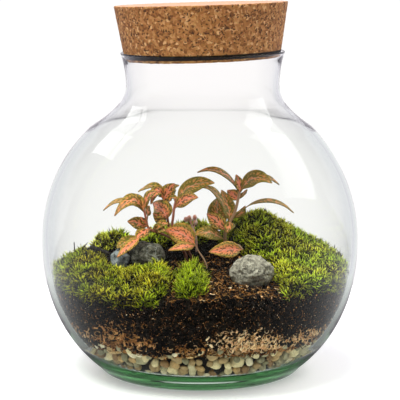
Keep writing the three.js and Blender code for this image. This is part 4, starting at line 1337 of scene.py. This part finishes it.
def leaf_finish(name, ground, islands, rib, roughness):
    """A satin leaf: four ground colours from midrib to margin, two for the islands, and the midrib's own."""
    finish, tree, surface = new_finish(name, roughness, Specular_IOR_Level=0.35)
    chart = add(tree, "UVMap").outputs[0]
    across = add(tree, "Attribute", attribute_name="across").outputs["Fac"]
    tone = add(tree, "Attribute", attribute_name="tone").outputs["Fac"]
    part = add(tree, "SeparateXYZ", {0: chart})
    out = add(tree, "Math", {0: part.outputs["Y"]}, operation="ABSOLUTE")
    slant = add(tree, "Math", {0: out.outputs[0], 1: -0.8, 2: part.outputs["X"]}, operation="MULTIPLY_ADD")
    rows = add(tree, "CombineXYZ", {"X": slant.outputs[0], "Y": part.outputs["Y"]})
    cell = add(tree, "TexVoronoi", {"Vector": rows.outputs[0], "Scale": 0.62})
    size = add(tree, "MapRange", {0: tone, 3: 0.66, 4: 0.35})
    past = add(tree, "Math", {0: cell.outputs["Distance"], 1: size.outputs[0]}, operation="SUBTRACT")
    island = add(tree, "MapRange", {0: past.outputs[0], 1: 0.04, 2: -0.05})
    cloud = add(tree, "TexNoise", {"Vector": chart, "Scale": 0.3, "Detail": 3})
    edge = add(tree, "Math", {0: cloud.outputs["Fac"], 1: 0.4, 2: across}, operation="MULTIPLY_ADD")
    stops = [(0.2, ground[0]), (1.24, ground[3]), (0.7, ground[1]), (1.04, ground[2])]
    pink = add(tree, "ValToRGB", {0: edge.outputs[0]}, stops)
    faded = add(tree, "MapRange", {0: tone, 1: 0.6, 2: 0.1, 3: 0.0, 4: 0.6})
    paler = add(tree, "Mix", {0: faded.outputs[0], 6: pink.outputs[0], 7: colour(ground[2])}, data_type="RGBA")
    pale = add(tree, "MapRange", {0: tone, 1: 0.7, 2: 0.2})
    olive = add(tree, "Mix", {0: pale.outputs[0], 6: colour(islands[0]), 7: colour(islands[1])}, data_type="RGBA")
    lamina = add(tree, "Mix", {0: island.outputs[0], 6: paler.outputs[2], 7: olive.outputs[2]}, data_type="RGBA")
    nerve = add(tree, "MapRange", {0: across, 1: 0.03, 2: 0.1, 3: 0.5, 4: 0.0})
    ribbed = add(tree, "Mix", {0: nerve.outputs[0], 6: lamina.outputs[2], 7: colour(rib)}, data_type="RGBA")
    tree.links.new(ribbed.outputs[2], surface.inputs["Base Color"])
    bump = add(tree, "Bump", {"Height": cell.outputs["Distance"], "Strength": 0.4, "Distance": 0.0004})
    tree.links.new(bump.outputs[0], surface.inputs["Normal"])
    return finish


leaf_top = leaf_finish(
    "nerve_leaf_upper_side",
    ["#fb8468", "#ee965a", "#c69640", "#7c8a2e"],
    ["#56461a", "#7c7026"],
    "#eab494",
    0.4,
)
leaf_under = leaf_finish(
    "nerve_leaf_lower_side",
    ["#c08068", "#b48a64", "#9c905a", "#848c4c"],
    ["#806c40", "#8e8e50"],
    "#dcb098",
    0.55,
)

# %% Stems


def stem_finish(name, low, high):
    """Soft hairy stem, browner at its foot."""
    finish, tree, surface = new_finish(name, 0.55)
    place = add(tree, "TexCoord").outputs["Object"]
    level = add(tree, "SeparateXYZ", {0: place})
    height = add(tree, "MapRange", {0: level.outputs[2], 1: 0.078, 2: 0.13})
    grain = add(tree, "TexNoise", {"Vector": place, "Scale": 500, "Detail": 2})
    both = add(tree, "Math", {0: grain.outputs["Fac"], 1: 0.5, 2: height.outputs[0]}, operation="MULTIPLY_ADD")
    shades = add(tree, "ValToRGB", {0: both.outputs[0]}, [(0.15, low), (1.1, high)])
    tree.links.new(shades.outputs[0], surface.inputs["Base Color"])
    return finish


red_stem = stem_finish("nerve_plant_stem_red", "#6e3a24", "#b8705a")
pale_stem = stem_finish("nerve_plant_stem_pale", "#8a6a4c", "#c79a78")


# %% [markdown]
# A stem is given by the points that it passes, and each of its leaves by one row: the places of its base,
# middle and tip, its width, how far it is turned from facing the front, the share of its length that is bare
# stalk, and its tone.

# %% A stem with its leaves


def leafy_stem(name, node, finish, path, radius, leaves, stalks=()):
    rods = [rod(path, radius, radius * 0.8)] + [rod(points, 0.7) for points in stalks]
    stem = join(rods)
    hold(stem)
    bpy.ops.object.shade_smooth()
    stem.data.materials.append(finish)
    blades = [leaf(*numbers) for numbers in leaves]
    piece = join([*blades, stem])
    return settle(piece, name, [], [node])


# %% The left plant: three stems
leafy_stem(
    "nerve_plant_left_outer",
    "plant_left_outer_stem",
    red_stem,
    [
        *((-10, 6, 72), (-10, 6, 80), (-12, 5, 86.5), (-18.5, 3, 95)),
        *((-29.5, 0, 101.5), (-37.5, 0, 105), (-39.5, 0, 112), (-41, 0, 118.5)),
    ],
    1.1,
    [
        ((-41, 0, 117), (-50, -6, 126.5), (-62, -12, 116), 11, 50, 0.1, 0.45),
        ((-41, 0, 117), (-56, 6, 124.5), (-71.5, 8, 117), 7.5, 72, 0.1, 0.3),
        ((-41, 0, 117.5), (-46.5, 6, 125), (-55, 10, 128), 10, 55, 0.1, 0.8),
        ((-41, 0, 117.5), (-38, -3, 128), (-31.5, -6, 133), 9, 58, 0.1, 0.5),
        ((-37.5, 0, 105.5), (-45.5, -5, 109.5), (-52.5, -9, 111.5), 9, 25, 0.1, 0.55),
        ((-37, 0, 105), (-42, -9, 102.5), (-47, -15, 99), 9, 55, 0.1, 0.7),
        ((-36, 0, 104.3), (-47, -18, 98.5), (-59.5, -27, 88.5), 8, 50, 0.4, 0.9),
        ((-35, 0, 103.8), (-51, -8, 97.5), (-60.5, -14, 93), 9, 45, 0.3, 0.1),
        ((-34.5, 0, 103.6), (-29, -7, 108.5), (-23, -11, 110), 8, 60, 0.1, 0.45),
        ((-33.5, 0, 103.3), (-30, -8, 106), (-24.5, -12, 104.5), 8, 30, 0.1, 0.3),
        ((-39, 0, 110.5), (-38, -3, 117), (-37, -7, 122.5), 6, 50, 0.3, 0.4),
        ((-38.5, 0, 107.5), (-41.5, -3, 111), (-43.5, -5, 114), 4, 50, 0.1, 0.6),
    ],
)
leafy_stem(
    "nerve_plant_left_middle",
    "plant_left_middle_stem",
    red_stem,
    [
        *((-9.8, 13.8, 72), (-9.8, 13.8, 80), (-12, 12, 85.5), (-20, 10, 96)),
        *((-23, 8, 104.5), (-24, 6, 111.5), (-26, 7, 118), (-26.5, 8, 124)),
    ],
    1.1,
    [
        ((-26.5, 8, 123.5), (-31, 3, 132), (-36, -2, 123), 10, 50, 0.1, 0.85),
        ((-26.5, 8, 123.5), (-23.5, 7, 131), (-18.5, 6, 137), 10.5, 20, 0.1, 0.85),
        ((-26.5, 8, 123), (-32.5, 12, 134), (-46, 14, 130), 9, 70, 0.1, 0.15),
        ((-26.5, 8, 123), (-22, 13, 131.5), (-15.5, 16, 134.5), 7, 60, 0.1, 0.25),
        ((-26.3, 7.5, 121.5), (-22, 14, 127.5), (-18, 18, 131), 6, 60, 0.1, 0.2),
        ((-24, 3, 110), (-27.5, 3, 117.5), (-35.5, 19, 121), 15, 15, 0.1, 0.8),
        ((-23.4, 7.6, 106), (-29.5, 2, 111.5), (-34, -2, 116.5), 9, 35, 0.1, 0.5),
    ],
)
leafy_stem(
    "nerve_plant_left_inner",
    "plant_left_inner_stem",
    red_stem,
    [
        *((-5, 2, 72), (-5, 2, 79), (-7.5, 2, 85.5), (-14, 0, 95.5)),
        *((-20, -1, 105.5), (-19.5, -2, 114.5), (-18.5, -2, 122), (-17, -2, 127.5)),
    ],
    1.1,
    [
        ((-19, -2, 125.5), (-5.5, -5, 137), (10.5, -8, 139.5), 12.5, 40, 0.12, 0.2),
        ((-18.8, -2, 119.5), (-11, -9, 127.5), (-1.5, -16, 130), 11, 45, 0.1, 0.75),
        ((-17.7, -2, 125), (-20, 0.5, 127.5), (-23.5, 2.5, 123.5), 6, 70, 0.1, 0.3),
    ],
)
leafy_stem(
    "nerve_plant_front_sprig",
    "plant_front_sprig",
    pale_stem,
    [(5, -20.5, 71), (5, -20.5, 79.5), (3.5, -18.5, 84), (-1.5, -10, 90.5), (-3.5, -8, 94.5)],
    0.6,
    [
        ((-3.4, -8.1, 94), (-13.5, -6, 101.8), (-26, 0, 103.2), 16, 25, 0.05, 0.95),
        ((-3.2, -8.3, 93.4), (-11.5, -16, 94), (-22.5, -24, 93), 8, 60, 0.1, 0.95),
    ],
)

# %% The right plant
leafy_stem(
    "nerve_plant_right",
    "plant_right",
    pale_stem,
    [
        *((20.5, 3.5, 76), (20.5, 3.5, 84), (19.5, 3, 89), (18.5, 1, 96), (19, 0, 103.5)),
        *((22, 0, 109.5), (25.5, 0, 117), (27.5, 0, 124.5), (29, 0, 132)),
    ],
    1.25,
    [
        ((28.8, 0, 131), (15.5, 4, 145.8), (-2, 8, 145.2), 7.5, 65, 0.1, 0.4),
        ((27.6, 0, 125), (24.5, 3, 128.8), (20, 7, 132), 9, 20, 0.1, 1.0),
        ((28.9, 0, 131), (28.5, 2, 137.5), (26.5, 4, 144), 7, 30, 0.1, 0.8),
        ((28.9, 0, 131), (39, -6, 142.6), (52, -12, 140), 13, 45, 0.1, 0.25),
        ((28.9, 0, 131), (43, 5, 142), (58.5, 9, 136), 7, 65, 0.1, 0.3),
        ((27.8, 0, 126.5), (31.5, 3, 129.5), (34.5, 5, 133), 4, 60, 0.1, 0.2),
        ((22.5, 0, 110.5), (45.5, 2, 125), (69, 3, 116), 6.5, 72, 0.3, 0.2),
        ((23.5, 0, 112.5), (30, 4, 115.5), (33, 7, 120.5), 6, 50, 0.1, 0.3),
        ((21.8, 0, 109), (20.5, 6, 120), (16, 20, 130.5), 11, 25, 0.1, 0.25),
        ((19.3, 0, 104), (13, 5, 114.5), (14.5, 19, 125.5), 15, 10, 0.1, 0.3),
        ((19, -3, 103), (12.5, -3, 110.5), (5, 2, 115.5), 11, 20, 0.1, 0.8),
        ((21.6, 0, 108.5), (12.5, 9, 128.5), (0.5, 13, 133.5), 8, 68, 0.1, 0.15),
        ((22.3, 0, 110), (21.5, -6, 107.5), (19.5, -10, 103), 8, 30, 0.1, 0.4),
        ((31, -14, 91.5), (20, -22, 93), (6.5, -28, 92.5), 12, 25, 0.1, 0.9),
        ((18.6, 1.2, 95.5), (6.5, -8, 103), (-4, -12, 102), 11, 45, 0.1, 0.2),
    ],
    [[(19.3, 2.8, 89.5), (27.5, -8, 94), (31, -14, 91.5)]],
)

# %% [markdown]
# ## The bud sprig
# Between the plants stands a thin stalk with dusky pink buds. A bud is a small ball, pulled a little taller
# and roughened, and a soft noise runs its colour from pink to cream.

# %% Buds on their stalks
stalks = [
    [(-2.5, 27, 76), (-2.5, 27, 85.5), (-3, 26, 93.5), (-4.5, 25.5, 98.5), (-6.5, 25, 104), (-8, 25, 107)],
    [(-7, 25, 104.7), (-8.5, 25, 106.5), (-10.5, 25, 107.5)],
    [(-7, 25, 104.7), (-5.5, 25, 107.5), (-4, 25, 109)],
    [(-5, 25.3, 100.5), (-4, 25, 103), (-3.5, 25, 105)],
]
parts = [rod(points, 0.75 if number == 0 else 0.5) for number, points in enumerate(stalks)]
BUD_RADIUS = 1.9
for centre in ((-10.5, 25, 107.5), (-8, 25, 108.5), (-4, 25, 109), (-3.5, 25, 105)):
    let_go()
    at = Vector(centre) * MM
    bpy.ops.mesh.primitive_uv_sphere_add(segments=16, ring_count=10, radius=BUD_RADIUS * MM, location=at)
    bud = bpy.context.object
    bpy.ops.object.mode_set(mode="EDIT")
    bpy.ops.transform.resize(value=(0.9, 0.9, 1.1))
    bpy.ops.object.mode_set(mode="OBJECT")
    bpy.ops.object.transform_apply(location=True)
    parts.append(bud)
buds = join(parts)
roughen(buds, "CLOUDS", 1.2, 0.5)
hold(buds)
bpy.ops.object.shade_smooth()
bud_finish, tree, surface = new_finish("plant_bud_dusky_pink", 0.5)
grain = add(tree, "TexNoise", {"Vector": add(tree, "TexCoord").outputs["Object"], "Scale": 420, "Detail": 3})
pinks = add(tree, "ValToRGB", {0: grain.outputs["Fac"]}, [(0.3, "#ff9c88"), (0.7, "#ffe6d4")])
tree.links.new(pinks.outputs[0], surface.inputs["Base Color"])
settle(buds, "bud_sprig_pink", [bud_finish], ["bud_sprig"])
